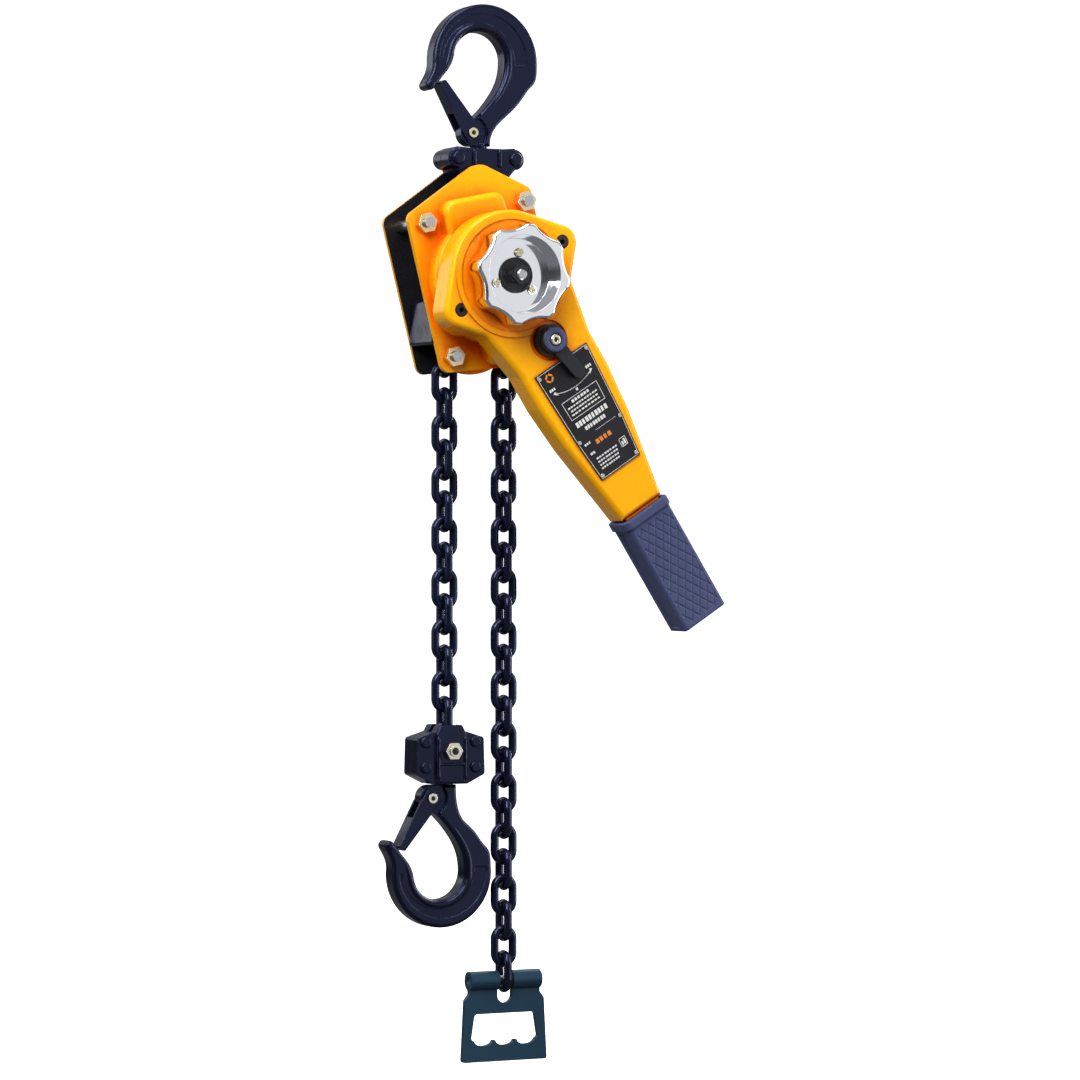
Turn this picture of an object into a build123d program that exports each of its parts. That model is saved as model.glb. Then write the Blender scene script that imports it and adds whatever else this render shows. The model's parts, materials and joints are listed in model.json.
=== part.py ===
"""Lever chain hoist of the two-tonne class, as it hangs from its top hook.

The origin is the centre of the top hook's bowl. X points right, Z points up and the
hand wheel faces the front, towards -Y. All sizes are in millimetres and degrees.
"""
from build123d import *
import os
from math import acos, atan2, cos, degrees, pi, radians, sin, sqrt, tan

os.makedirs("parts", exist_ok=True)

# ---- driving dimensions ---------------------------------------------------------------
# Load chain
WIRE = 7.8  # wire diameter
PITCH = 24.0
LINK_LENGTH = 24.4  # inside length of a link
LINK_WIDTH = 26.4  # outside width of a link
POCKETS = 4  # pockets of the load sheave, each for two links
LOAD_LINKS = 18  # hanging links on the hook side
FREE_LINKS = 27  # hanging links on the slack side
LOAD_SPLITS = (3, 10)  # the chain is articulated below these links
FREE_SPLITS = (8,)

# Main axis, on which the load sheave, brake, lever and hand wheel turn
AXIS_X = -2.0
AXIS_Z = -206.5
BODY_ROLL = 13.0  # the frame hangs turned this far anticlockwise, seen from the front
LEVER_ROLL = 32.5  # the lever points this far to the right of straight down
RUN = 30.6  # distance of each chain run from the main axis
FLAT_RADIUS = 27.3  # centre radius of a link that lies flat on the sheave

# Depths along Y; the front is negative
PLATE_INNER = 25.0
PLATE = 4.0
PLATE_OUTER = PLATE_INNER + PLATE
COVER_FRONT = -52.0  # front face of the brake cover
LEVER_BACK = -53.0
LEVER_SPLIT = -66.0
LEVER_FRONT = -83.0
WHEEL_FLOOR = -89.5
WHEEL_RIM = -110.0
GEAR_COVER_BACK = 58.0

# Top suspension
PIN_U, PIN_V = 20.5, 80.0  # suspension pin, in the frame's own right and up directions
PIN_RADIUS = 6.0
PIN_HEAD = 31.8  # back of the pin's flat head
YOKE_TOP = -84.0
YOKE_BOTTOM = -103.0
YOKE_HALF = 19.0  # thickness of one half of the yoke
YOKE_EAR = 14.0  # radius of the ear on the suspension pin

# Hooks
BOWL = 26.0  # inside radius of a hook's bowl
HOOK_THICK = 20.0
SHOULDER = 81.0  # from the bowl's centre to the shoulder below the stem
STEM_RADIUS = 8.0
COLLAR_RADIUS = 12.5
LATCH_PIN_RADIUS = 3.0
LATCH_DROP = 69.0  # from the bowl's centre to the latch pin
LATCH_FLAT = 3.5  # depth of the flats that the latch cheeks ride on
TIP_LEFT, TIP_RISE = 38.2, 22.0  # where the latch meets the hook, from the bowl's centre

# Gear train: shaft pinion, disc gear, disc pinion, load gear
MODULE_1, TEETH_PINION, TEETH_DISC = 1.75, 9, 36
MODULE_2, TEETH_SMALL, TEETH_LOAD = 2.25, 8, 27
PRESSURE = radians(27)
GEAR_OFFSET = MODULE_1 * (TEETH_PINION + TEETH_DISC) / 2
BACKLASH = 0.3
SHAFT = 7.0  # radius of the long pinion shaft
RUNNING = 0.05  # radial clearance of a turning fit

STAY_U, STAY_V = 52.0, 63.0  # stay bolts, in the frame's own directions


# ---- helpers ---------------------------------------------------------------------------
def facing_front(y, roll=0.0, x=0.0, z=0.0):
    """A plane at depth y that looks to the front, turned by roll degrees about (x, z)."""
    return Plane(origin=(x, y, z), x_dir=(cos(radians(roll)), 0, sin(radians(roll))), z_dir=(0, -1, 0))


def frame_plane(y):
    """Plane of the frame: its own right is x, its own up is y."""
    return facing_front(y, BODY_ROLL, AXIS_X, AXIS_Z)


def lever_plane(y):
    """Plane of the lever: across it is x, from the grip to the head is y."""
    return facing_front(y, LEVER_ROLL, AXIS_X, AXIS_Z)


def axis_plane(y):
    """Plane square to the main axis, with no roll."""
    return facing_front(y, 0, AXIS_X, AXIS_Z)


def frame_point(u, v):
    """World X and Z of a point given in the frame's own directions."""
    a = radians(BODY_ROLL)
    return AXIS_X + u * cos(a) - v * sin(a), AXIS_Z + u * sin(a) + v * cos(a)


def save(piece, name):
    """Label a finished piece and write it."""
    piece.part.label = name
    export_step(piece.part, f"parts/{name}.step")


def involute_gear(module, teeth, phase):
    """Outline of a spur gear with one tooth centred at the angle phase (radians)."""
    pitch = module * teeth / 2
    base = pitch * cos(PRESSURE)
    tip = pitch + 0.8 * module
    root = pitch - 1.0 * module
    start = max(base, root + 0.02)
    flare = tan(PRESSURE) - PRESSURE
    half = pi / (2 * teeth) - BACKLASH / (4 * pitch)

    def half_angle(radius):
        a = acos(min(1.0, base / radius))
        return half + flare - (tan(a) - a)

    steps = 4
    radii = [start + (tip - start) * i / steps for i in range(steps + 1)]
    points = []
    for tooth in range(teeth):
        centre = phase + 2 * pi * tooth / teeth
        left = [(r, centre - half_angle(r)) for r in radii]
        right = [(r, centre + half_angle(r)) for r in reversed(radii)]
        foot = half_angle(start)
        corners = [(root, centre - foot)] + left + right + [(root, centre + foot)]
        points += [(r * cos(a), r * sin(a)) for r, a in corners]
    return points


def coil(radius, wire, height, turns, plane):
    """A compression spring that stands on the given plane."""
    path = Helix(pitch=height / turns, height=height, radius=radius)
    section = Plane(origin=path @ 0, z_dir=path % 0) * Circle(wire / 2)
    return plane * sweep(section, path=path, is_frenet=True)


# ---- chain ------------------------------------------------------------------------------
BOW = (LINK_WIDTH - WIRE) / 2
LEG = (LINK_LENGTH + WIRE) / 2 - BOW

with BuildPart() as link:
    with BuildSketch(Plane.XY.offset(-LEG)):
        with Locations((BOW, 0), (-BOW, 0)):
            Circle(WIRE / 2)
    extrude(amount=2 * LEG)
    with BuildSketch(Plane.XY.offset(LEG)):
        with Locations((BOW, 0)):
            Circle(WIRE / 2)
    revolve(axis=Axis((0, 0, LEG), (0, -1, 0)), revolution_arc=180)
    with BuildSketch(Plane.XY.offset(-LEG)):
        with Locations((BOW, 0)):
            Circle(WIRE / 2)
    revolve(axis=Axis((0, 0, -LEG), (0, 1, 0)), revolution_arc=180)


def hanging_links(x, first, last):
    """Links first to last of a straight run, counted down from the main axis."""
    places = []
    for number in range(first, last + 1):
        turn = 90 if number % 2 else 0
        places.append(Location((x, 0, AXIS_Z - PITCH * number), (0, 0, turn)))
    return [link.part.moved(place) for place in places]


def wrapped_link(angle, flat):
    """One link on the sheave, at the given angle from its right-hand side."""
    a = radians(angle)
    radius = FLAT_RADIUS if flat else RUN
    centre = (AXIS_X + radius * cos(a), 0, AXIS_Z + radius * sin(a))
    across = (0, 1, 0) if flat else (cos(a), 0, sin(a))
    return link.part.moved(Location(Plane(centre, x_dir=across, z_dir=(-sin(a), 0, cos(a)))))


def save_chain(links, name):
    """Write a group of links as one node of separate solids."""
    export_step(Compound(children=links, label=name), f"parts/{name}.step")


load_x = AXIS_X - RUN
free_x = AXIS_X + RUN
save_chain([wrapped_link(45 * n, n % 2 == 1) for n in range(5)], "chain_on_sheave")
load_parts = ("load_chain_upper", "load_chain_middle", "load_chain_lower")
free_parts = ("free_chain_upper", "free_chain_lower")
for names, x, splits, count in (
    (load_parts, load_x, LOAD_SPLITS, LOAD_LINKS),
    (free_parts, free_x, FREE_SPLITS, FREE_LINKS),
):
    ends = (0,) + splits + (count,)
    for name, above, last in zip(names, ends, ends[1:]):
        save_chain(hanging_links(x, above + 1, last), name)

anchor_z = AXIS_Z - PITCH * LOAD_LINKS - 7.0
tail_z = AXIS_Z - PITCH * FREE_LINKS - 8.0


# ---- hooks ------------------------------------------------------------------------------
def hook_outline(side, flank):
    """Closed outline of a hook whose bowl opens up (side 1) or down (side -1).

    The stem stands right of the bowl's centre by `flank`; the tip is on the left.
    """

    def p(x, z):
        return (x, z * side)

    stem = flank + STEM_RADIUS + 0.5
    bulge = 60.0 - abs(flank - 2.5)
    a = radians(172)
    start = p(BOWL * cos(a), BOWL * sin(a))
    with BuildLine() as line:
        ThreePointArc(start, p(0, BOWL), p(BOWL, 0))
        Spline(p(BOWL, 0), p(12, -37), p(-8, -57), tangents=[p(0, -1), p(-1, -0.7)])
        ThreePointArc(p(-8, -57), p(-18.5, -LATCH_DROP), p(-6, -SHOULDER))
        Line(p(-6, -SHOULDER), p(stem, -SHOULDER))
        Spline(p(stem, -SHOULDER), p(max(stem + 1.5, bulge - 42), -62), p(bulge - 30, -50.5),
               p(bulge - 17.5, -38), p(bulge - 7.5, -25), p(bulge, -4), tangents=[p(0, 1), p(0, 1)])
        ThreePointArc(p(bulge, -4), p(bulge / 2 - 23.75, 52), p(-47.5, -4))
        Spline(p(-47.5, -4), p(-55, -24), tangents=[p(0, -1), p(-0.5, -1)])
        ThreePointArc(p(-55, -24), p(-53, -30), p(-46, -28))
        Line(p(-46, -28), p(-37, -17))
        Spline(p(-37, -17), start, tangents=[p(0.9, 1), p(0.139, 0.99)])
    return line


def swivel_hook(side, flank, bowl_x, bowl_z, name):
    """Forged hook with a stem and a collar that turn in the yoke or the block."""
    plane = facing_front(HOOK_THICK / 2, 0, bowl_x, bowl_z)
    with BuildPart() as hook:
        with BuildSketch(plane):
            with BuildLine():
                add(hook_outline(side, flank).line)
            make_face()
        extrude(amount=HOOK_THICK)
        rims = hook.edges().filter_by(lambda e: abs(abs(e.center().Y) - HOOK_THICK / 2) < 0.1)
        fillet(rims.filter_by(lambda e: abs(e.center().Z - bowl_z) < 80), 3.5)
        # shallow pressed web between the rounded rims
        for y in (HOOK_THICK / 2, -HOOK_THICK / 2):
            with BuildSketch(facing_front(y, 0, bowl_x, bowl_z)):
                with BuildLine():
                    arc_a = ThreePointArc((-38.5, 0), (0, 34 * side), (36, -4 * side))
                    arc_b = ThreePointArc((48, -4 * side), (6, 43 * side), (-41.5, 0))
                    Line(arc_a @ 1, arc_b @ 0)
                    Line(arc_b @ 1, arc_a @ 0)
                make_face()
            extrude(amount=0.8, both=True, mode=Mode.SUBTRACT)
        # pin bore and the flats that the latch cheeks ride on
        latch = (bowl_x - 7.5, bowl_z - LATCH_DROP * side)
        with BuildSketch(facing_front(HOOK_THICK, 0, *latch)):
            Circle(LATCH_PIN_RADIUS)
        extrude(amount=2 * HOOK_THICK, mode=Mode.SUBTRACT)
        for y in (HOOK_THICK / 2, -HOOK_THICK / 2 + LATCH_FLAT):
            with BuildSketch(facing_front(y, 0, *latch)):
                Circle(15.5)
                # room for the cheeks when the latch is open
                with Locations((4.9, 16.2 * side)):
                    Circle(3.6)
            extrude(amount=LATCH_FLAT, mode=Mode.SUBTRACT)
        # pocket for the latch spring
        with BuildSketch(facing_front(-2.4, 0, *latch)):
            Circle(6)
            Circle(LATCH_PIN_RADIUS, mode=Mode.SUBTRACT)
        extrude(amount=5, mode=Mode.SUBTRACT)
        # stem and collar
        stem_x = bowl_x + flank
        shoulder = bowl_z - SHOULDER * side
        with BuildSketch(Plane((stem_x, 0, shoulder + 2.5 * side), z_dir=(0, 0, -side))):
            Circle(STEM_RADIUS)
        extrude(amount=12.5)
        with BuildSketch(Plane((stem_x, 0, shoulder - 9.5 * side), z_dir=(0, 0, -side))):
            Circle(COLLAR_RADIUS)
        extrude(amount=6)
    save(hook, name)
    return latch


def latch_set(side, latch, tip, prefix):
    """Sprung safety latch, its pin and its spring."""
    reach = sqrt((tip[0] - latch[0]) ** 2 + (tip[1] - latch[1]) ** 2)
    roll = degrees(atan2(tip[1] - latch[1], tip[0] - latch[0]))
    with BuildPart() as gate:
        with BuildSketch(facing_front(9.0, roll, *latch)):
            with BuildLine():
                FilletPolyline((-7, -8), (9, -8), (reach, -3.2), (reach, 3.2), (9, 8), (-7, 8),
                               radius=2.0, close=True)
            make_face()
        extrude(amount=18)
        # the channel straddles the hook's flats and its spring
        with BuildSketch(facing_front(6.75, roll, *latch)):
            with Locations((8, 0)):
                Rectangle(34, 30)
        extrude(amount=13.5, mode=Mode.SUBTRACT)
        with BuildSketch(facing_front(7.0, roll, *latch)):
            with BuildLine():
                hinge = -2.5 * side
                Polyline((18, hinge), (reach - 6, hinge), (reach - 6, hinge + 1.8), (18, hinge + 1.8),
                         close=True)
            make_face()
        extrude(amount=14)
        with BuildSketch(facing_front(9.5, roll, *latch)):
            Circle(LATCH_PIN_RADIUS + RUNNING)
        extrude(amount=19, mode=Mode.SUBTRACT)
    save(gate, prefix + "_latch")
    with BuildPart() as pin:
        with BuildSketch(facing_front(11.5, roll, *latch)):
            Circle(LATCH_PIN_RADIUS)
        extrude(amount=23)
        for y in (11.5, -9.5):
            with BuildSketch(facing_front(y, roll, *latch)):
                Circle(4.6)
            extrude(amount=2)
    save(pin, prefix + "_latch_pin")


bottom_bowl_x = load_x - 9.0
bottom_bowl_z = anchor_z - 113.0
top_latch = swivel_hook(1, 2.5, 0.0, 0.0, "top_hook")
bottom_latch = swivel_hook(-1, 9.0, bottom_bowl_x, bottom_bowl_z, "bottom_hook")
latch_set(1, top_latch, (-TIP_LEFT, -TIP_RISE), "top")
latch_set(-1, bottom_latch, (bottom_bowl_x - TIP_LEFT, bottom_bowl_z + TIP_RISE), "bottom")


# ---- top yoke ----------------------------------------------------------------------------
pin_x, pin_z = frame_point(PIN_U, PIN_V)
stem_x = 2.5
yoke_mid = (YOKE_TOP + YOKE_BOTTOM) / 2
boss_x = (-27.0, 32.0)
rivet_radius = 4.0


def yoke_half(back, front, name):
    """Half of the yoke, between two depths: bosses, bar and the ear on the suspension pin."""
    thick = back - front
    with BuildPart() as half:
        with BuildSketch(facing_front(back)):
            with Locations((boss_x[0], yoke_mid), (boss_x[1], yoke_mid)):
                Circle(9.5)
            with BuildLine():
                Polyline((boss_x[0], YOKE_TOP + 1), (-14, YOKE_TOP), (20, YOKE_TOP),
                         (boss_x[1], YOKE_TOP + 1), (boss_x[1], YOKE_BOTTOM), (pin_x + YOKE_EAR, pin_z),
                         (pin_x - YOKE_EAR, pin_z), (boss_x[0], YOKE_BOTTOM), close=True)
            make_face()
            with Locations((pin_x, pin_z)):
                Circle(YOKE_EAR)
        extrude(amount=thick)
        outer = back if back > 1 else front
        shell = half.faces().filter_by(lambda f: abs(f.center().Y - outer) < 0.01)
        chamfer(shell.edges(), 1.5)
        # room for the hook's stem and collar
        with BuildSketch(Plane.XY.offset(YOKE_TOP + 1)):
            with Locations((stem_x, 0)):
                Circle(STEM_RADIUS + RUNNING)
        extrude(amount=-8, mode=Mode.SUBTRACT)
        with BuildSketch(Plane.XY.offset(-90.2)):
            with Locations((stem_x, 0)):
                Circle(COLLAR_RADIUS + 0.3)
        extrude(amount=-6.6, mode=Mode.SUBTRACT)
        with BuildSketch(facing_front(back)):
            with Locations((pin_x, pin_z)):
                Circle(PIN_RADIUS + RUNNING)
            with Locations((boss_x[0], yoke_mid), (boss_x[1], yoke_mid)):
                Circle(rivet_radius)
        extrude(amount=thick, mode=Mode.SUBTRACT)
    save(half, name)


yoke_half(0.0, -YOKE_HALF, "top_yoke_front")
yoke_half(YOKE_HALF, 0.0, "top_yoke_back")

with BuildPart() as yoke_rivets:
    with BuildSketch(facing_front(YOKE_HALF)):
        with Locations((boss_x[0], yoke_mid), (boss_x[1], yoke_mid)):
            Circle(rivet_radius)
    extrude(amount=2 * YOKE_HALF)
    for y, side in ((-YOKE_HALF, 1), (YOKE_HALF, -1)):
        with BuildSketch(facing_front(y)):
            with Locations((boss_x[0], yoke_mid), (boss_x[1], yoke_mid)):
                Circle(6.5)
        extrude(amount=3.5 * side)
    heads = yoke_rivets.edges().filter_by(lambda e: abs(abs(e.center().Y) - YOKE_HALF - 3.5) < 0.01)
    fillet(heads, 2.5)
save(yoke_rivets, "top_yoke_rivets")

with BuildPart() as suspension_pin:
    with BuildSketch(facing_front(PIN_HEAD, 0, pin_x, pin_z)):
        Circle(PIN_RADIUS)
    extrude(amount=PIN_HEAD + PLATE_OUTER)
    with BuildSketch(facing_front(PIN_HEAD, 0, pin_x, pin_z)):
        Circle(9)
    extrude(amount=PIN_HEAD - PLATE_OUTER)
save(suspension_pin, "top_suspension_pin")


# ---- frame -------------------------------------------------------------------------------
full_stays = [(-STAY_U, STAY_V), (STAY_U, STAY_V), (STAY_U, -STAY_V), (-15.0, -68.0)]
stud = (-STAY_U, -STAY_V)  # short, because the load chain hangs behind it
front_nuts = full_stays[:3] + [stud]
BOLT = 5.0
BUSH = 20.5
FLANGE = 2.0  # thickness of the brake cover's flange
NUT_ACROSS = 17.0
NUT_HEIGHT = 8.0
STUD_REACH = 18.0  # from the inside of the front plate to the bolt ends


def plate_outline():
    """Five-sided outline of a side plate, with its apex over the suspension pin."""
    with BuildLine() as line:
        FilletPolyline((-68, 73), (14, 108), (62, 74), (62, -75), (0, -84), (-65, -76),
                       radius=(9, 19, 9, 9, 9, 9), close=True)
    return line.line


def side_plate(back, stays, name):
    """Steel plate with holes for the bush, the suspension pin and the stay bolts."""
    with BuildPart() as plate:
        with BuildSketch(frame_plane(back)):
            with BuildLine():
                add(plate_outline())
            make_face()
            Circle(BUSH, mode=Mode.SUBTRACT)
            with Locations((PIN_U, PIN_V)):
                Circle(PIN_RADIUS, mode=Mode.SUBTRACT)
            with Locations(*stays):
                Circle(BOLT, mode=Mode.SUBTRACT)
            if back > 0:
                with Locations((0, GEAR_OFFSET), (0, -GEAR_OFFSET)):
                    Circle(6 + RUNNING, mode=Mode.SUBTRACT)
        extrude(amount=PLATE)
    save(plate, name)


side_plate(-PLATE_INNER, full_stays + [stud], "side_plate_front")
side_plate(PLATE_OUTER, full_stays, "side_plate_back")

with BuildPart() as stay_bolts:
    with BuildSketch(frame_plane(PLATE_INNER)):
        with Locations(*full_stays):
            Circle(5.5)
    extrude(amount=2 * PLATE_INNER)
    with BuildSketch(frame_plane(43)):
        with Locations(*full_stays[:3]):
            Circle(BOLT)
    extrude(amount=43 - PLATE_INNER)
    with BuildSketch(frame_plane(PLATE_OUTER)):
        with Locations(full_stays[3]):
            Circle(BOLT)
    extrude(amount=PLATE)
    with BuildSketch(frame_plane(-PLATE_INNER)):
        with Locations(*full_stays[:3]):
            Circle(BOLT)
    extrude(amount=STUD_REACH)
    with BuildSketch(frame_plane(-PLATE_INNER)):
        with Locations(full_stays[3]):
            Circle(BOLT)
    extrude(amount=PLATE + FLANGE)
    with BuildSketch(frame_plane(-PLATE_INNER + 3)):
        with Locations(stud):
            Circle(7.5)
    extrude(amount=3)
    with BuildSketch(frame_plane(-PLATE_INNER)):
        with Locations(stud):
            Circle(BOLT)
    extrude(amount=STUD_REACH)
save(stay_bolts, "stay_bolts")

with BuildPart() as stay_nuts:
    with BuildSketch(frame_plane(-PLATE_OUTER - FLANGE)):
        with Locations(*front_nuts):
            RegularPolygon(NUT_ACROSS / 2, 6, major_radius=False)
            Circle(BOLT, mode=Mode.SUBTRACT)
    extrude(amount=NUT_HEIGHT)
    with BuildSketch(frame_plane(PLATE_OUTER + NUT_HEIGHT)):
        with Locations(*full_stays[:3]):
            RegularPolygon(NUT_ACROSS / 2, 6, major_radius=False)
            Circle(BOLT, mode=Mode.SUBTRACT)
    extrude(amount=NUT_HEIGHT)
save(stay_nuts, "stay_nuts")

with BuildPart() as chain_guides:
    with BuildSketch(axis_plane(PLATE_INNER)):
        with Locations((-50.5, -41)):
            RectangleRounded(9, 42, 3)
        with Locations((51, -36)):
            RectangleRounded(9, 40, 3)
    extrude(amount=2 * PLATE_INNER)
save(chain_guides, "chain_guides")

stripper_x, stripper_z = frame_point(*full_stays[3])
with BuildPart() as chain_stripper:
    with BuildSketch(facing_front(12, 0, stripper_x, stripper_z)):
        with BuildLine():
            FilletPolyline((-9, -11), (9, -11), (11, 10), (4, 22), (-4, 22), (-11, 10), radius=2, close=True)
        make_face()
        Circle(5.5, mode=Mode.SUBTRACT)
    extrude(amount=24)
    with BuildSketch(facing_front(3, 0, stripper_x, stripper_z + 25)):
        Rectangle(6, 10)
    extrude(amount=6)
save(chain_stripper, "chain_stripper")

with BuildPart() as sheave_bushes:
    for plate_back, flange_back in ((-PLATE_INNER, -PLATE_INNER + 2), (PLATE_OUTER, PLATE_INNER)):
        with BuildSketch(axis_plane(plate_back)):
            Circle(BUSH)
            Circle(16, mode=Mode.SUBTRACT)
        extrude(amount=PLATE)
        with BuildSketch(axis_plane(flange_back)):
            Circle(24)
            Circle(16, mode=Mode.SUBTRACT)
        extrude(amount=2)
save(sheave_bushes, "sheave_bushes")


# ---- covers ------------------------------------------------------------------------------
PAWL_ARM = 50.0  # distance of the pawl pins from the main axis
PAWL_ANGLE = 120.0
STEP_FRONT = -48.0  # front of the cover's lower step
NECK = 24.0  # the lever turns on this neck of the brake cover


def cover_outline(inset):
    """Pressed bulge of the brake cover, drawn smaller by inset all round."""
    with BuildSketch() as outline:
        Circle(61 - inset)
        with BuildLine():
            FilletPolyline((-37 + inset, 30), (-37 + inset, 79 - inset), (26 - inset, 78 - inset),
                           (32 - inset, 30), radius=12 - inset, close=True)
        make_face()
        with BuildLine():
            FilletPolyline((-20 + inset, 10), (-60 + inset, 0), (-60 + inset, -42 + inset),
                           (-25 + inset, -50 + inset), (-20 + inset, -79 + inset), (13 - inset, -80 + inset),
                           (22 - inset, -40),
                           radius=[corner - inset for corner in (7, 20, 20, 10, 9, 9, 7)], close=True)
        make_face()
    return outline.sketch


with BuildPart() as brake_cover:
    with BuildSketch(frame_plane(-PLATE_OUTER)):
        with BuildLine():
            add(plate_outline())
        make_face()
    extrude(amount=FLANGE)
    with BuildSketch(frame_plane(-PLATE_OUTER)):
        add(cover_outline(0))
    extrude(amount=-PLATE_OUTER - STEP_FRONT)
    with BuildSketch(frame_plane(STEP_FRONT)):
        Circle(54)
    extrude(amount=STEP_FRONT - COVER_FRONT)
    rim = brake_cover.faces().filter_by(lambda f: abs(f.center().Y - COVER_FRONT) < 0.01)
    fillet(rim.edges(), 3)
    step = brake_cover.faces().filter_by(lambda f: abs(f.center().Y - STEP_FRONT) < 0.01)
    fillet(step[0].outer_wire().edges(), 6)
    with BuildSketch(frame_plane(-PLATE_OUTER)):
        add(cover_outline(3))
    extrude(amount=-PLATE_OUTER - STEP_FRONT - 2.6, mode=Mode.SUBTRACT)
    with BuildSketch(frame_plane(STEP_FRONT + 3)):
        Circle(50)
    extrude(amount=STEP_FRONT + 3 - COVER_FRONT - 2.1, mode=Mode.SUBTRACT)
    with BuildSketch(frame_plane(COVER_FRONT)):
        Circle(NECK)
    extrude(amount=6)
    with BuildSketch(frame_plane(COVER_FRONT - 6)):
        Circle(21)
    extrude(amount=-10, mode=Mode.SUBTRACT)
    with BuildSketch(frame_plane(-PLATE_OUTER)):
        with Locations(*front_nuts, full_stays[3]):
            Circle(BOLT)
    extrude(amount=FLANGE, mode=Mode.SUBTRACT)
    # seats for the nuts
    with BuildSketch(frame_plane(-PLATE_OUTER - FLANGE)):
        with Locations(*front_nuts):
            Circle(11.5)
    extrude(amount=20, mode=Mode.SUBTRACT)
save(brake_cover, "brake_cover")

with BuildPart() as gear_cover:
    with BuildSketch(frame_plane(GEAR_COVER_BACK)):
        SlotCenterToCenter(2 * GEAR_OFFSET, 77, rotation=90)
    extrude(amount=GEAR_COVER_BACK - PLATE_OUTER)
    back_face = gear_cover.faces().filter_by(lambda f: abs(f.center().Y - GEAR_COVER_BACK) < 0.01)
    fillet(back_face.edges(), 6)
    with BuildSketch(frame_plane(PLATE_OUTER + 3)):
        SlotCenterToCenter(2 * GEAR_OFFSET, 97, rotation=90)
    extrude(amount=3)
    with BuildSketch(frame_plane(PLATE_OUTER + 3)):
        with Locations((-STAY_U, STAY_V), (STAY_U, STAY_V), (STAY_U, -STAY_V), (PIN_U, PIN_V)):
            Circle(12)
    extrude(amount=3, mode=Mode.SUBTRACT)
    with BuildSketch(frame_plane(GEAR_COVER_BACK - 3)):
        SlotCenterToCenter(2 * GEAR_OFFSET, 70.4, rotation=90)
    extrude(amount=GEAR_COVER_BACK - 3 - PLATE_OUTER, mode=Mode.SUBTRACT)
    with BuildSketch(frame_plane(GEAR_COVER_BACK - 3)):
        with Locations((0, 0), (0, GEAR_OFFSET), (0, -GEAR_OFFSET)):
            Circle(9)
    extrude(amount=3.5)
    with BuildSketch(frame_plane(GEAR_COVER_BACK - 3.2)):
        with Locations((0, 0), (0, GEAR_OFFSET), (0, -GEAR_OFFSET)):
            Circle(5 + RUNNING)
    extrude(amount=3.3, mode=Mode.SUBTRACT)
    cover_screws = [(43.5, 20), (-43.5, 20), (43.5, -20), (-43.5, -20)]
    with BuildSketch(frame_plane(PLATE_OUTER + 3)):
        with Locations(*cover_screws):
            Circle(2.0)
    extrude(amount=3, mode=Mode.SUBTRACT)
save(gear_cover, "gear_cover")

with BuildPart() as gear_cover_screws:
    with BuildSketch(frame_plane(PLATE_OUTER + 6)):
        with Locations(*cover_screws):
            Circle(4)
            RegularPolygon(1.8, 6, mode=Mode.SUBTRACT)
    extrude(amount=3)
    with BuildSketch(frame_plane(PLATE_OUTER + 3.5)):
        with Locations(*cover_screws):
            Circle(2.0)
    extrude(amount=3.5)
save(gear_cover_screws, "gear_cover_screws")


# ---- brake, gears and sheave ---------------------------------------------------------------
def toothed(root, tip, teeth, phase, foot, crown):
    """Outline of a ratchet with teeth of the given half-widths in degrees."""
    points = []
    for tooth in range(teeth):
        middle = phase + 360 * tooth / teeth
        for radius, angle in ((root, -foot), (tip, -crown), (tip, crown), (root, foot * 0.8)):
            a = radians(middle + angle)
            points.append((radius * cos(a), radius * sin(a)))
    return points


PAWL_POINT = 95.0  # angle of the pawl's nose, seen from the main axis
RATCHET_TIP = 38.0
PAWL_LIFT = 0.5  # gap left between the pawl's nose and the tips of the ratchet
with BuildPart() as ratchet_disc:
    with BuildSketch(frame_plane(-39)):
        with BuildLine():
            Polyline(*toothed(33.5, RATCHET_TIP, 12, PAWL_POINT + 15, 8, 4), close=True)
        make_face()
        Circle(13, mode=Mode.SUBTRACT)
    extrude(amount=6)
save(ratchet_disc, "ratchet_disc")

nose_radius = 1.8
nose_distance = RATCHET_TIP + PAWL_LIFT + nose_radius
for turn, name in ((0, "pawl_upper"), (180, "pawl_lower")):
    pivot_a = radians(PAWL_ANGLE + turn)
    nose_a = radians(PAWL_POINT + turn)
    pivot = Vector(PAWL_ARM * cos(pivot_a), PAWL_ARM * sin(pivot_a))
    nose = Vector(nose_distance * cos(nose_a), nose_distance * sin(nose_a))
    along = (nose - pivot).normalized()
    side = Vector(-along.Y, along.X)
    with BuildPart() as pawl:
        with BuildSketch(frame_plane(-39.2)):
            with Locations(pivot):
                Circle(5.5)
            with Locations(nose):
                Circle(nose_radius)
            with BuildLine():
                Polyline(pivot + side * 5.2, nose + side * nose_radius, nose - side * nose_radius,
                         pivot - side * 5.2, close=True)
            make_face()
            with Locations(pivot):
                Circle(3 + RUNNING, mode=Mode.SUBTRACT)
        extrude(amount=5.8)
    save(pawl, name)

with BuildPart() as pawl_pins:
    for turn in (0, 180):
        a = radians(PAWL_ANGLE + turn)
        with BuildSketch(frame_plane(-PLATE_OUTER)):
            with Locations((PAWL_ARM * cos(a), PAWL_ARM * sin(a))):
                Circle(5)
        extrude(amount=9.9)
        with BuildSketch(frame_plane(-PLATE_OUTER)):
            with Locations((PAWL_ARM * cos(a), PAWL_ARM * sin(a))):
                Circle(3)
        extrude(amount=16.3)
save(pawl_pins, "pawl_pins")

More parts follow.
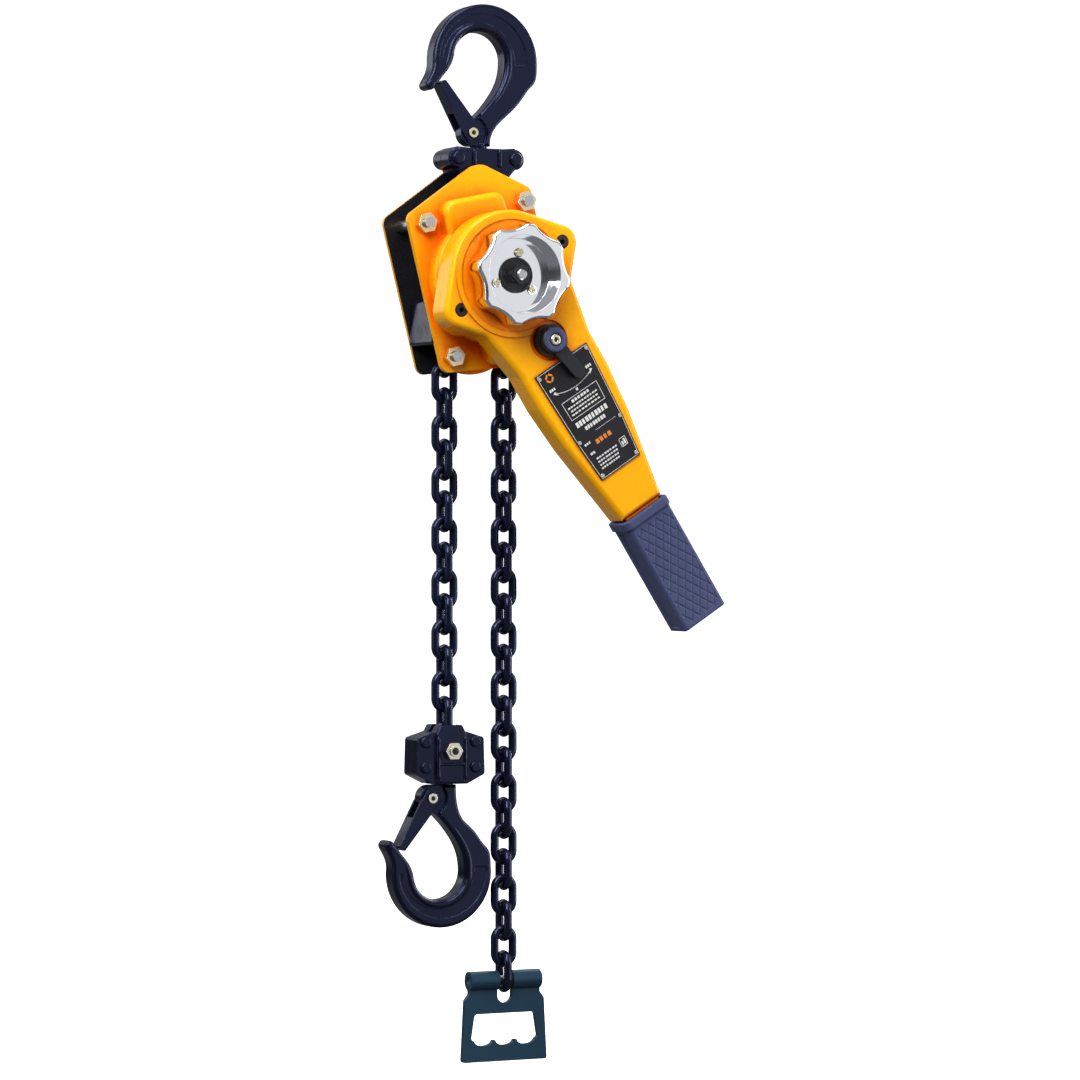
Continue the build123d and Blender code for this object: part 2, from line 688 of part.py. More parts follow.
springs = []
for turn in (0, 180):
    a = radians(PAWL_ANGLE + turn)
    spring_x, spring_z = frame_point(PAWL_ARM * cos(a), PAWL_ARM * sin(a))
    spring_seat = Plane((spring_x, -PLATE_OUTER - FLANGE, spring_z), z_dir=(0, -1, 0))
    springs.append(coil(6.4, 1.2, 6.0, 4, spring_seat))
export_step(Compound(children=springs, label="pawl_springs"), "parts/pawl_springs.step")

with BuildPart() as friction_hub:
    with BuildSketch(frame_plane(-32.5)):
        Circle(30)
        Circle(SHAFT, mode=Mode.SUBTRACT)
    extrude(amount=4.5)
    with BuildSketch(frame_plane(-37)):
        Circle(13)
        Circle(SHAFT, mode=Mode.SUBTRACT)
    extrude(amount=10)
save(friction_hub, "friction_hub")

with BuildPart() as friction_discs:
    for y in (-37, -45):
        with BuildSketch(frame_plane(y)):
            Circle(30)
            Circle(13, mode=Mode.SUBTRACT)
        extrude(amount=2)
save(friction_discs, "friction_discs")

with BuildPart() as load_sheave:
    for back, front, radius in ((22.0, -22.0, 17.0), (31.0, -29.0, 16.0 - RUNNING), (41.5, 0.0, 13.0)):
        with BuildSketch(axis_plane(back)):
            Circle(radius)
        extrude(amount=back - front)
    for back in (13.5, -4.6):
        with BuildSketch(axis_plane(back)):
            Circle(FLAT_RADIUS - WIRE / 2 - 0.4)
        extrude(amount=8.9)
        with BuildSketch(axis_plane(back - 1 if back > 0 else back)):
            with PolarLocations(27, POCKETS):
                Rectangle(10, 4.6)
        extrude(amount=7.9)
    for back in (18.0, -14.0):
        with BuildSketch(axis_plane(back)):
            Circle(33)
        extrude(amount=4)
    with BuildSketch(axis_plane(50)):
        Circle(SHAFT + RUNNING)
    extrude(amount=100, mode=Mode.SUBTRACT)
save(load_sheave, "load_sheave")

with BuildPart() as load_gear:
    with BuildSketch(frame_plane(40.5)):
        with BuildLine():
            Polyline(*involute_gear(MODULE_2, TEETH_LOAD, 0.0), close=True)
        make_face()
        Circle(13, mode=Mode.SUBTRACT)
    extrude(amount=9)
save(load_gear, "load_gear")

pinion_phase = 0.0
for direction, name in ((pi / 2, "disc_gear_upper"), (-pi / 2, "disc_gear_lower")):
    centre = (0, GEAR_OFFSET * sin(direction))
    big = direction + pi + (direction - pinion_phase) * TEETH_PINION / TEETH_DISC + pi / TEETH_DISC
    small = direction + pi + direction * TEETH_LOAD / TEETH_SMALL + pi / TEETH_SMALL
    with BuildPart() as disc_gear:
        with BuildSketch(frame_plane(50)):
            with BuildLine():
                big_profile = involute_gear(MODULE_1, TEETH_DISC, big)
                Polyline(*[(x, y + centre[1]) for x, y in big_profile], close=True)
            make_face()
        extrude(amount=8)
        with BuildSketch(frame_plane(42)):
            with BuildLine():
                small_profile = involute_gear(MODULE_2, TEETH_SMALL, small)
                Polyline(*[(x, y + centre[1]) for x, y in small_profile], close=True)
            make_face()
        extrude(amount=11)
        with BuildSketch(frame_plane(PLATE_OUTER + 2)):
            with Locations(centre):
                Circle(6)
        extrude(amount=5)
        with BuildSketch(frame_plane(54.5)):
            with Locations(centre):
                Circle(5)
        extrude(amount=5)
    save(disc_gear, name)

with BuildPart() as pinion_shaft:
    with BuildSketch(frame_plane(54.5)):
        Circle(5)
    extrude(amount=12)
    with BuildSketch(frame_plane(50.5)):
        with BuildLine():
            Polyline(*involute_gear(MODULE_1, TEETH_PINION, pinion_phase), close=True)
        make_face()
    extrude(amount=8.7)
    with BuildSketch(frame_plane(41.8)):
        Circle(SHAFT)
    extrude(amount=41.8 + 97)
    with BuildSketch(frame_plane(-97)):
        Circle(5)
    extrude(amount=8)
    tip_edge = pinion_shaft.faces().sort_by(Axis.Y)[0].edges()
    chamfer(tip_edge, 1)
save(pinion_shaft, "pinion_shaft")

with BuildPart() as shaft_nut:
    with BuildSketch(frame_plane(-98)):
        RegularPolygon(8, 6, major_radius=False)
        Circle(5, mode=Mode.SUBTRACT)
    extrude(amount=5)
save(shaft_nut, "shaft_nut")

with BuildPart() as change_gear:
    with BuildSketch(frame_plane(-47)):
        Circle(28)
    extrude(amount=2.5)
    with BuildSketch(frame_plane(-49.5)):
        Circle(20)
    extrude(amount=10.5)
    with BuildSketch(frame_plane(-60)):
        with BuildLine():
            Polyline(*toothed(22.5, 26, 12, 0, 8, 4.5), close=True)
        make_face()
    extrude(amount=12)
    with BuildSketch(frame_plane(-72)):
        Circle(13)
    extrude(amount=11)
    with BuildSketch(frame_plane(-40)):
        Circle(SHAFT)
    extrude(amount=50, mode=Mode.SUBTRACT)
save(change_gear, "change_gear")


# ---- hand wheel --------------------------------------------------------------------------
LOBES = 8
WHEEL_RADIUS = 47.0
CUP_RADIUS = 37.0
HUB_SCREWS = 21.0  # radius of the circle of screws
wheel_roll = 8.5  # the lobes and screws are turned this far clockwise


def wheel_plane(y):
    """Plane of the hand wheel, with a lobe screw straight up."""
    return facing_front(y, -wheel_roll, AXIS_X, AXIS_Z)


with BuildPart() as handwheel:
    with BuildSketch(wheel_plane(WHEEL_FLOOR + 2.5)):
        Circle(WHEEL_RADIUS)
        with PolarLocations(WHEEL_RADIUS + 31, LOBES, start_angle=90 + 180 / LOBES):
            Circle(36, mode=Mode.SUBTRACT)
    extrude(amount=WHEEL_FLOOR + 2.5 - WHEEL_RIM)
    upright = handwheel.edges().filter_by(Axis.Y)
    fillet(upright, 5)
    front_rim = handwheel.faces().sort_by(Axis.Y)[0].edges()
    fillet(front_rim, 3)
    back_rim = handwheel.faces().sort_by(Axis.Y)[-1].edges()
    fillet(back_rim, 2)
    with BuildSketch(wheel_plane(WHEEL_FLOOR)):
        Circle(CUP_RADIUS - 3)
    extrude(amount=30, taper=-6, mode=Mode.SUBTRACT)
    with BuildSketch(wheel_plane(WHEEL_FLOOR + 5.5)):
        Circle(18)
    extrude(amount=3.2)
    with BuildSketch(wheel_plane(WHEEL_FLOOR + 6)):
        Circle(SHAFT + RUNNING)
        with PolarLocations(HUB_SCREWS, 3, start_angle=90):
            Circle(2)
    extrude(amount=8, mode=Mode.SUBTRACT)
save(handwheel, "handwheel")

with BuildPart() as handwheel_screws:
    with BuildSketch(wheel_plane(WHEEL_FLOOR)):
        with PolarLocations(HUB_SCREWS, 3, start_angle=90):
            Circle(4.2)
    extrude(amount=2.6)
    fillet(handwheel_screws.faces().sort_by(Axis.Y)[:3].edges(), 1.2)
    with BuildSketch(wheel_plane(WHEEL_FLOOR - 2.6)):
        with PolarLocations(HUB_SCREWS, 3, start_angle=90):
            Rectangle(4, 1)
            Rectangle(1, 4)
    extrude(amount=-1.2, mode=Mode.SUBTRACT)
    with BuildSketch(wheel_plane(WHEEL_FLOOR + 2.5)):
        with PolarLocations(HUB_SCREWS, 3, start_angle=90):
            Circle(2)
    extrude(amount=2.5)
save(handwheel_screws, "handwheel_screws")

with BuildPart() as hub_plate:
    with BuildSketch(wheel_plane(WHEEL_FLOOR)):
        Circle(16.5)
        Circle(SHAFT + RUNNING, mode=Mode.SUBTRACT)
    extrude(amount=2)
    with BuildSketch(wheel_plane(WHEEL_FLOOR - 2)):
        Circle(15.5)
        Circle(13.8, mode=Mode.SUBTRACT)
        with PolarLocations(11.3, 6):
            Circle(1.4)
    extrude(amount=0.7)
save(hub_plate, "hub_plate")

free_spring = coil(15.2, 1.6, 9.6, 4, Plane(frame_plane(-73.0).origin, z_dir=(0, -1, 0)))
free_spring.label = "freewheel_spring"
export_step(free_spring, "parts/freewheel_spring.step")


# ---- lever -------------------------------------------------------------------------------
HEAD = 61.0
EAR = 16.0
EAR_T = 61.0
SELECTOR_S = 69.5
GRIP_S = 256.0
LEVER_END = 375.0
TAIL_END = 365.0
BODY = ((50, 10), (52, 30), (42, 84), (42, 120), (38, 165), (24, 252))  # half-width and distance down


def lever_outline():
    """Outline of the lever: round head, two ears and a body that narrows to the grip."""
    tangent = acos((HEAD - EAR) / EAR_T)
    high = (HEAD * cos(tangent), HEAD * sin(tangent))
    low = (EAR_T + EAR * cos(tangent), EAR * sin(tangent))
    with BuildSketch() as outline:
        Circle(HEAD)
        with Locations((EAR_T, 0), (-EAR_T, 0)):
            Circle(EAR)
        Polygon(*[(sx * x, sy * y) for sx, sy, (x, y) in
                  ((1, 1, high), (1, 1, low), (1, -1, low), (1, -1, high),
                   (-1, -1, high), (-1, -1, low), (-1, 1, low), (-1, 1, high))], align=None)
        half = [(t, -s) for t, s in BODY]
        Polygon(*half, *[(-t, y) for t, y in reversed(half)], align=None)
        corners = outline.vertices().filter_by(lambda v: -95 < v.Y < -18 and abs(v.X) > 40)
        fillet(corners, 14)
        kinks = outline.vertices().filter_by(lambda v: -170 < v.Y < -110 and abs(v.X) > 30)
        fillet(kinks, 40)
    return outline.sketch


def lever_cavity():
    """Room inside the shells for the change gear and the selector pawl."""
    with BuildSketch() as room:
        Circle(40)
        Polygon((30, 0), (30, -100), (26, -165), (14, -235), (-14, -235), (-26, -165), (-30, -100), (-30, 0),
                align=None)
        with Locations((0, -150), (0, -225)):
            Circle(8, mode=Mode.SUBTRACT)
    return room.sketch


lower_bolts = [(0, -150), (0, -225)]
ears = [(EAR_T, 0), (-EAR_T, 0)]

with BuildPart() as lever_back_shell:
    with BuildSketch(lever_plane(LEVER_BACK)):
        add(lever_outline())
    extrude(amount=LEVER_BACK - LEVER_SPLIT)
    chamfer(lever_back_shell.faces().sort_by(Axis.Y)[-1].outer_wire().edges(), 1.5)
    with BuildSketch(lever_plane(-56.0)):
        add(lever_cavity())
    extrude(amount=10, mode=Mode.SUBTRACT)
    with BuildSketch(lever_plane(LEVER_BACK)):
        Circle(NECK + RUNNING)
        with Locations(*ears, *lower_bolts):
            Circle(3)
        with Locations((0, -SELECTOR_S)):
            Circle(5 + RUNNING)
    extrude(amount=13, mode=Mode.SUBTRACT)
    with BuildSketch(lever_plane(LEVER_BACK)):
        with Locations(*lower_bolts):
            Circle(6)
    extrude(amount=3, mode=Mode.SUBTRACT)
    # tail bar that the grip is pushed on to
    for back, front, start in ((-56.0, LEVER_SPLIT, 248.0), (LEVER_SPLIT, -80.0, 252.2)):
        with BuildSketch(lever_plane(back)):
            with Locations((0, -(start + TAIL_END) / 2)):
                Rectangle(40, TAIL_END - start)
        extrude(amount=back - front)
save(lever_back_shell, "lever_back_shell")

with BuildPart() as lever_front_shell:
    with BuildSketch(lever_plane(LEVER_SPLIT)):
        add(lever_outline())
    extrude(amount=LEVER_SPLIT - LEVER_FRONT)
    fillet(lever_front_shell.faces().sort_by(Axis.Y)[0].outer_wire().edges(), 5)
    with BuildSketch(lever_plane(LEVER_FRONT)):
        Circle(57)
        Circle(52, mode=Mode.SUBTRACT)
    extrude(amount=1.6)
    with BuildSketch(lever_plane(LEVER_FRONT - 1.6)):
        with Locations((0, -SELECTOR_S)):
            Circle(19)
    extrude(amount=-4.6, mode=Mode.SUBTRACT)
    with BuildSketch(lever_plane(LEVER_SPLIT)):
        add(lever_cavity())
    extrude(amount=11, mode=Mode.SUBTRACT)
    with BuildSketch(lever_plane(LEVER_SPLIT)):
        Circle(22)
        with Locations(*ears):
            Circle(3)
        with Locations((0, -SELECTOR_S)):
            Circle(7 + RUNNING)
    extrude(amount=30, mode=Mode.SUBTRACT)
    with BuildSketch(lever_plane(LEVER_SPLIT)):
        with Locations(*lower_bolts):
            Circle(3)
    extrude(amount=10, mode=Mode.SUBTRACT)
    with BuildSketch(lever_plane(LEVER_FRONT)):
        with Locations(*ears):
            Circle(6.5)
    extrude(amount=-5, mode=Mode.SUBTRACT)
save(lever_front_shell, "lever_front_shell")

with BuildPart() as lever_bolts:
    with BuildSketch(lever_plane(LEVER_BACK)):
        with Locations(*ears):
            Circle(3)
    extrude(amount=25)
    with BuildSketch(lever_plane(LEVER_FRONT + 5)):
        with Locations(*ears):
            Circle(5.6)
            RegularPolygon(2.6, 6, mode=Mode.SUBTRACT)
    extrude(amount=5)
    with BuildSketch(lever_plane(LEVER_BACK)):
        with Locations(*lower_bolts):
            Circle(5.8)
            RegularPolygon(2.6, 6, mode=Mode.SUBTRACT)
    extrude(amount=3)
    with BuildSketch(lever_plane(LEVER_BACK - 3)):
        with Locations(*lower_bolts):
            Circle(3)
    extrude(amount=20)
save(lever_bolts, "lever_bolts")

with BuildPart() as lever_grip:
    with BuildSketch(lever_plane(-51.0)):
        with Locations((0, -(GRIP_S + LEVER_END) / 2)):
            RectangleRounded(52, LEVER_END - GRIP_S, 4)
    extrude(amount=34)
    fillet(lever_grip.faces().sort_by(Axis.Y)[0].edges() + lever_grip.faces().sort_by(Axis.Y)[-1].edges(), 3)
    with BuildSketch(lever_plane(-49.0)):
        with Locations((0, -GRIP_S - 2)):
            RectangleRounded(58, 8, 3)
    extrude(amount=38)
    with BuildSketch(lever_plane(-56.0)):
        with Locations((0, -(250 + TAIL_END) / 2)):
            Rectangle(40, TAIL_END - 250)
    extrude(amount=24, mode=Mode.SUBTRACT)
save(lever_grip, "lever_grip")

PLATE_CORNERS = ((31.5, 91), (27.5, 168), (23.4, 208))
rivet_spots = [(sx * (t - 3), -s + ds) for t, s, ds in ((31.5, 91, -4), (27.7, 166, 0), (23.6, 208, 4))
               for sx in (1, -1)]
with BuildPart() as name_plate:
    with BuildSketch(lever_plane(LEVER_FRONT)):
        right = [(t, -s) for t, s in PLATE_CORNERS]
        Polygon(*right, *[(-t, y) for t, y in reversed(right)], align=None)
    extrude(amount=1.2)
    with BuildSketch(lever_plane(LEVER_FRONT)):
        with Locations(*rivet_spots):
            Circle(1.2)
    extrude(amount=1.2, mode=Mode.SUBTRACT)
save(name_plate, "name_plate")

with BuildPart() as name_plate_rivets:
    with BuildSketch(lever_plane(LEVER_FRONT)):
        with Locations(*rivet_spots):
            Circle(1.2)
    extrude(amount=1.2)
    with BuildSketch(lever_plane(LEVER_FRONT - 1.2)):
        with Locations(*rivet_spots):
            Circle(1.9)
    extrude(amount=0.7)
save(name_plate_rivets, "name_plate_rivets")


# ---- selector ------------------------------------------------------------------------------
POINTER_ROLL = 43.0
selector_x = AXIS_X + SELECTOR_S * sin(radians(LEVER_ROLL))
selector_z = AXIS_Z - SELECTOR_S * cos(radians(LEVER_ROLL))


def selector_plane(y):
    """Plane of the selector, whose pointer runs down along y."""
    return facing_front(y, POINTER_ROLL, selector_x, selector_z)


with BuildPart() as selector_knob:
    with BuildSketch(selector_plane(-80.4)):
        Circle(15)
    extrude(amount=8)
    with BuildSketch(selector_plane(-88.4)):
        Circle(12.5)
    extrude(amount=8.6)
    with BuildSketch(selector_plane(-86)):
        with BuildLine():
            FilletPolyline((-7.5, 4), (-6, -40), (-3, -45), (3, -45), (6, -40), (7.5, 4),
                           radius=2.5, close=True)
        make_face()
    extrude(amount=6)
    fillet(selector_knob.faces().sort_by(Axis.Y)[0].edges(), 2)
    with BuildSketch(selector_plane(-54)):
        Circle(5)
    extrude(amount=30)
    with BuildSketch(selector_plane(-77)):
        Circle(7)
    extrude(amount=4)
save(selector_knob, "selector_knob")

with BuildPart() as selector_pawl:
    rocker_roll = LEVER_ROLL + 18.5
    with BuildSketch(facing_front(-60.2, rocker_roll, selector_x, selector_z)):
        Circle(11)
        for sx in (1, -1):
            with BuildLine():
                FilletPolyline((sx * 2, 0), (sx * 11, 2), (sx * 11, 37.5), (sx * 7.5, 40), (sx * 5, 30),
                               (sx * 2, 16), radius=1.2, close=True)
            make_face()
        Circle(5, mode=Mode.SUBTRACT)
    extrude(amount=11.6)
save(selector_pawl, "selector_pawl")


# ---- bottom block ---------------------------------------------------------------------------
def block_plane(y):
    """Plane of the bottom block, centred on the anchor bolt."""
    return facing_front(y, 0, load_x, anchor_z)


BLOCK_HALF = 17.0
block_rivet_spots = [(sx * 25.4, z) for sx in (1, -1) for z in (8.2, -15.4)]


def block_half(back, front, name):
    """Half of the block that joins the chain's last link to the bottom hook."""
    outer = front if front < -1 else back
    with BuildPart() as half:
        with BuildSketch(block_plane(back if outer < 0 else back - 3)):
            with BuildLine():
                FilletPolyline((-11, 24), (11, 24), (15, 18), (34, 12), (35, -22), (17, -31), (-17, -31),
                               (-35, -22), (-34, 12), (-15, 18), radius=3, close=True)
            make_face()
        extrude(amount=back - front - 3)
        # raised rib over the bolt and the hook's stem
        with BuildSketch(block_plane(back)):
            with BuildLine():
                FilletPolyline((-10.8, 24), (10.8, 24), (15.6, 15), (15.6, -30.8), (-15.6, -30.8),
                               (-15.6, 15), radius=2.5, close=True)
            make_face()
        extrude(amount=back - front)
        face = half.faces().filter_by(lambda f: abs(f.center().Y - outer) < 0.01)
        fillet(face.edges(), 1.2)
        # slot for the last link, and a flared throat for the link above it
        with BuildSketch(block_plane(4.5)):
            with Locations((0, 10)):
                Rectangle(34.4, 52)
        extrude(amount=9, mode=Mode.SUBTRACT)
        with BuildSketch(block_plane(13.7)):
            Polygon((-5.5, 9), (5.5, 9), (11.5, 30), (-11.5, 30), align=None)
        extrude(amount=27.4, mode=Mode.SUBTRACT)
        # room for the hook's stem and collar
        with BuildSketch(Plane.XY.offset(anchor_z - 33)):
            with Locations((load_x, 0)):
                Circle(STEM_RADIUS + RUNNING)
        extrude(amount=12, mode=Mode.SUBTRACT)
        with BuildSketch(Plane.XY.offset(anchor_z - 22.8)):
            with Locations((load_x, 0)):
                Circle(COLLAR_RADIUS + 0.3)
        extrude(amount=6.6, mode=Mode.SUBTRACT)
        with BuildSketch(block_plane(20)):
            Circle(BOLT)
            with Locations(*block_rivet_spots):
                Circle(3.5)
        extrude(amount=40, mode=Mode.SUBTRACT)
    save(half, name)


block_half(0.0, -BLOCK_HALF, "block_front")
block_half(BLOCK_HALF, 0.0, "block_back")

with BuildPart() as block_rivets:
    with BuildSketch(block_plane(14)):
        with Locations(*block_rivet_spots):
            Circle(3.5)
    extrude(amount=28)
    for y in (-14.0, 16.6):
        with BuildSketch(block_plane(y)):
            with Locations(*block_rivet_spots):
                Circle(5.5)
        extrude(amount=2.6)
    heads = block_rivets.edges().filter_by(lambda e: abs(abs(e.center().Y) - 16.6) < 0.01)
    fillet(heads, 2)
save(block_rivets, "block_rivets")

with BuildPart() as anchor_bolt:
    with BuildSketch(block_plane(BLOCK_HALF)):
        Circle(BOLT)
    extrude(amount=2 * BLOCK_HALF + 8)
    with BuildSketch(block_plane(BLOCK_HALF + 5)):
        RegularPolygon(7.5, 6, major_radius=False)
    extrude(amount=5)
    with BuildSketch(block_plane(-BLOCK_HALF)):
        RegularPolygon(7.5, 6, major_radius=False)
    extrude(amount=6)
save(anchor_bolt, "anchor_bolt")


# ---- tail handle ------------------------------------------------------------------------------
BARREL = 9.0


def tail_plane(y):
    """Plane of the tail handle, centred on its pin."""
    return facing_front(y, 0, free_x, tail_z)


with BuildPart() as tail_handle:
    for start, end in ((-36.5, -7.0), (7.0, 36.5)):
        with BuildSketch(Plane((free_x + start, 0, tail_z), z_dir=(1, 0, 0))):
            Circle(BARREL)
        extrude(amount=end - start)
    with BuildSketch(tail_plane(2.5)):
        with BuildLine():
            FilletPolyline((-36.5, 0), (-36.5, -12), (-41, -18), (-44, -76), (44, -76), (41, -18),
                           (36.5, -12), (36.5, 0), radius=(3, 3, 2.5, 2.5, 3, 3), close=False)
            Line((36.5, 0), (-36.5, 0))
        make_face()
        # slot that leaves the last link free
        with Locations((0, -2)):
            Rectangle(15, 24, mode=Mode.SUBTRACT)
        with Locations((0, -14)):
            Circle(7.5, mode=Mode.SUBTRACT)
        # hand hole with three finger hollows
        with BuildLine():
            FilletPolyline((-31, -31), (31, -31), (35, -56), (-35, -56), radius=3, close=True)
        make_face(mode=Mode.SUBTRACT)
        with Locations((-22, -56), (0, -56), (22, -56)):
            Ellipse(9.5, 5, mode=Mode.SUBTRACT)
    extrude(amount=5)
    with BuildSketch(Plane((free_x - 40, 0, tail_z), z_dir=(1, 0, 0))):
        Circle(4)
    extrude(amount=80, mode=Mode.SUBTRACT)
save(tail_handle, "tail_handle")

with BuildPart() as tail_pin:
    with BuildSketch(Plane((free_x - 35, 0, tail_z), z_dir=(1, 0, 0))):
        Circle(4)
    extrude(amount=70)
save(tail_pin, "tail_pin")

for prefix, (x, z) in (("top", top_latch), ("bottom", bottom_latch)):
    latch_spring = coil(4.9, 1.1, 2.6, 2, Plane((x, -3.1, z), z_dir=(0, -1, 0)))
    latch_spring.label = prefix + "_latch_spring"
    export_step(latch_spring, f"parts/{prefix}_latch_spring.step")
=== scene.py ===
"""Looks of the lever chain hoist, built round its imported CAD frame."""

import json
from math import cos, pi, radians, sin, sqrt

import bmesh
import bpy
from mathutils import Matrix, Vector


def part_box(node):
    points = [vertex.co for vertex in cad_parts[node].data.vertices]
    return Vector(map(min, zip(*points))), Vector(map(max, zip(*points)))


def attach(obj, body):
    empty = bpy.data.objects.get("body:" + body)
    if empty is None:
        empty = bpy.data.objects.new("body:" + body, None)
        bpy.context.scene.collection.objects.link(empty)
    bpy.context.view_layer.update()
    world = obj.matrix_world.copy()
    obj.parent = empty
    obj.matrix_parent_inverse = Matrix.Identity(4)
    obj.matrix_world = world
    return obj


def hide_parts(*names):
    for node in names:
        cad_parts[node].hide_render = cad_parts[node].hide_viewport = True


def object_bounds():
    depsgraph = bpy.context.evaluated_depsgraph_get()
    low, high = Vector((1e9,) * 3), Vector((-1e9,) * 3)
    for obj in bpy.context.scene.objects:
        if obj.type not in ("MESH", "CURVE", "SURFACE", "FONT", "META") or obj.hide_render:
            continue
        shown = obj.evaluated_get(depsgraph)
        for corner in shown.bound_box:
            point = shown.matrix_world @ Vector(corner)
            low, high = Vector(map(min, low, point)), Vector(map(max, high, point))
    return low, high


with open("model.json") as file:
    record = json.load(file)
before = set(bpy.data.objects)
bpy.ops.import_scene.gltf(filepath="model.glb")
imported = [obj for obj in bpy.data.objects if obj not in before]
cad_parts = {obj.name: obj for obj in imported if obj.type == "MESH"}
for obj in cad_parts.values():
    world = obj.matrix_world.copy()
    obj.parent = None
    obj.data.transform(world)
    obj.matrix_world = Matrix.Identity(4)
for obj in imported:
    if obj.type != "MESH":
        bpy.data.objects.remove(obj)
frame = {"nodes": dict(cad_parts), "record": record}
cad_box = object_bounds()
nodes = frame["nodes"]
MM = 0.001


# ---- material helpers ----------------------------------------------------------------------
class Graph:
    """A small wrapper that adds nodes to one material and links them."""

    def __init__(self, name):
        self.material = bpy.data.materials.new(name)
        self.material.use_nodes = True
        self.tree = self.material.node_tree
        self.shader = self.tree.nodes["Principled BSDF"]
        self.place = self.add("ShaderNodeTexCoord").outputs["Object"]

    def add(self, kind, **values):
        node = self.tree.nodes.new(kind)
        for key, value in values.items():
            setattr(node, key, value)
        return node

    def link(self, source, target):
        self.tree.links.new(source, target)

    def put(self, target, value):
        """Link a socket or set a constant."""
        if isinstance(value, bpy.types.NodeSocket):
            self.link(value, target)
        else:
            target.default_value = value

    def noise(self, scale, detail=3.0, roughness=0.55, stretch=None):
        """Noise from 0 to 1 over the surface, stretched by a scale along each axis if given."""
        node = self.add("ShaderNodeTexNoise")
        node.inputs["Scale"].default_value = scale
        node.inputs["Detail"].default_value = detail
        node.inputs["Roughness"].default_value = roughness
        place = self.place
        if stretch:
            mapping = self.add("ShaderNodeMapping")
            mapping.inputs["Scale"].default_value = stretch
            self.link(place, mapping.inputs["Vector"])
            place = mapping.outputs["Vector"]
        self.link(place, node.inputs["Vector"])
        return node.outputs["Fac"]

    def range(self, value, low, high, out_low=0.0, out_high=1.0):
        """Map a value from low and high to out_low and out_high, and clamp it there."""
        node = self.add("ShaderNodeMapRange")
        self.link(value, node.inputs["Value"])
        for key, number in (("From Min", low), ("From Max", high),
                            ("To Min", out_low), ("To Max", out_high)):
            node.inputs[key].default_value = number
        return node.outputs["Result"]

    def maths(self, operation, a, b=0.0):
        node = self.add("ShaderNodeMath", operation=operation)
        self.put(node.inputs[0], a)
        self.put(node.inputs[1], b)
        return node.outputs[0]

    def mix(self, factor, a, b):
        """Blend two colours; sockets 6 and 7 are the node's colour inputs and 2 its colour output."""
        node = self.add("ShaderNodeMix", data_type="RGBA")
        self.put(node.inputs["Factor"], factor)
        for socket, value in ((node.inputs[6], a), (node.inputs[7], b)):
            self.put(socket, value if isinstance(value, bpy.types.NodeSocket) else (*value, 1.0))
        return node.outputs[2]

    def edges(self, radius):
        """(softened normal, mask that is 1 on sharp edges)."""
        bevel = self.add("ShaderNodeBevel", samples=4)
        bevel.inputs["Radius"].default_value = radius
        true = self.add("ShaderNodeNewGeometry")
        dot = self.add("ShaderNodeVectorMath", operation="DOT_PRODUCT")
        self.link(bevel.outputs["Normal"], dot.inputs[0])
        self.link(true.outputs["Normal"], dot.inputs[1])
        return bevel.outputs["Normal"], self.range(dot.outputs["Value"], 0.995, 0.90)

    def hollows(self, distance, shut, open_):
        """Mask that is 1 in hollows and corners, within the given distance, where painted shade goes."""
        node = self.add("ShaderNodeAmbientOcclusion", samples=6)
        node.inputs["Distance"].default_value = distance
        return self.range(node.outputs["AO"], shut, open_, 1.0, 0.0)

    def bump(self, height, strength, distance, normal=None):
        node = self.add("ShaderNodeBump")
        node.inputs["Strength"].default_value = strength
        node.inputs["Distance"].default_value = distance
        self.link(height, node.inputs["Height"])
        if normal is not None:
            self.link(normal, node.inputs["Normal"])
        return node.outputs["Normal"]


def coated(name, base, shade, edge_wear_and_sheen_colour, rough, coat=0.0, coat_rough=0.1, edge=0.0006, wear=0.35,
           grain=0.00012, grain_scale=420.0, metallic=0.0, bare_metal=1.0, specular=0.5,
           tint=(1.0, 1.0, 1.0), hollow_shade=None, dents=0.0):
    """Painted, blackened or moulded surface with worn edges.

    base and shade are its two tones, and edge_wear_and_sheen_colour is the colour that shows where edges are
    worn; on the bluish black finishes it is partly a painted highlight. edge, grain and dents are sizes in
    metres. hollow_shade is (reach, shut, open, colour) of the painted shade in hollows.
    """
    g = Graph(name)
    cloud = g.noise(9.0, 4.0)
    fine = g.noise(grain_scale, 2.0)
    spots = g.noise(75.0, 5.0, 0.7)
    normal, rim = g.edges(edge)
    colour = g.mix(g.range(cloud, 0.35, 0.65), base, shade)
    dusty = g.maths("MULTIPLY", g.range(spots, 0.56, 0.78), 0.22)
    colour = g.mix(dusty, colour, tuple(min(1.0, c * 1.4 + 0.002) for c in base))
    # painted shade: a darker colour mixed in where hollows and corners are shut in
    if hollow_shade:
        reach, shut, open_, deep = hollow_shade
        colour = g.mix(g.hollows(reach, shut, open_), colour, deep)
    # worn paint along sharp edges; on the bluish black finishes this edge colour is also a painted highlight
    edge_wear_and_sheen = g.maths("MULTIPLY", rim, g.range(spots, 0.44, 0.62, 0.0, wear))
    colour = g.mix(edge_wear_and_sheen, colour, edge_wear_and_sheen_colour)
    g.link(colour, g.shader.inputs["Base Color"])
    g.link(g.range(spots, 0.3, 0.75, rough - 0.05, rough + 0.09), g.shader.inputs["Roughness"])
    if metallic or bare_metal:
        g.link(g.range(edge_wear_and_sheen, 0.0, 1.0, metallic, bare_metal), g.shader.inputs["Metallic"])
    if dents:
        normal = g.bump(g.noise(26.0, 1.0), 0.5, dents, normal)
    g.link(g.bump(fine, 0.5, grain, normal), g.shader.inputs["Normal"])
    g.shader.inputs["Coat Weight"].default_value = coat
    g.shader.inputs["Coat Roughness"].default_value = coat_rough
    g.shader.inputs["Specular IOR Level"].default_value = specular
    g.shader.inputs["Specular Tint"].default_value = (*tint, 1.0)
    return g.material


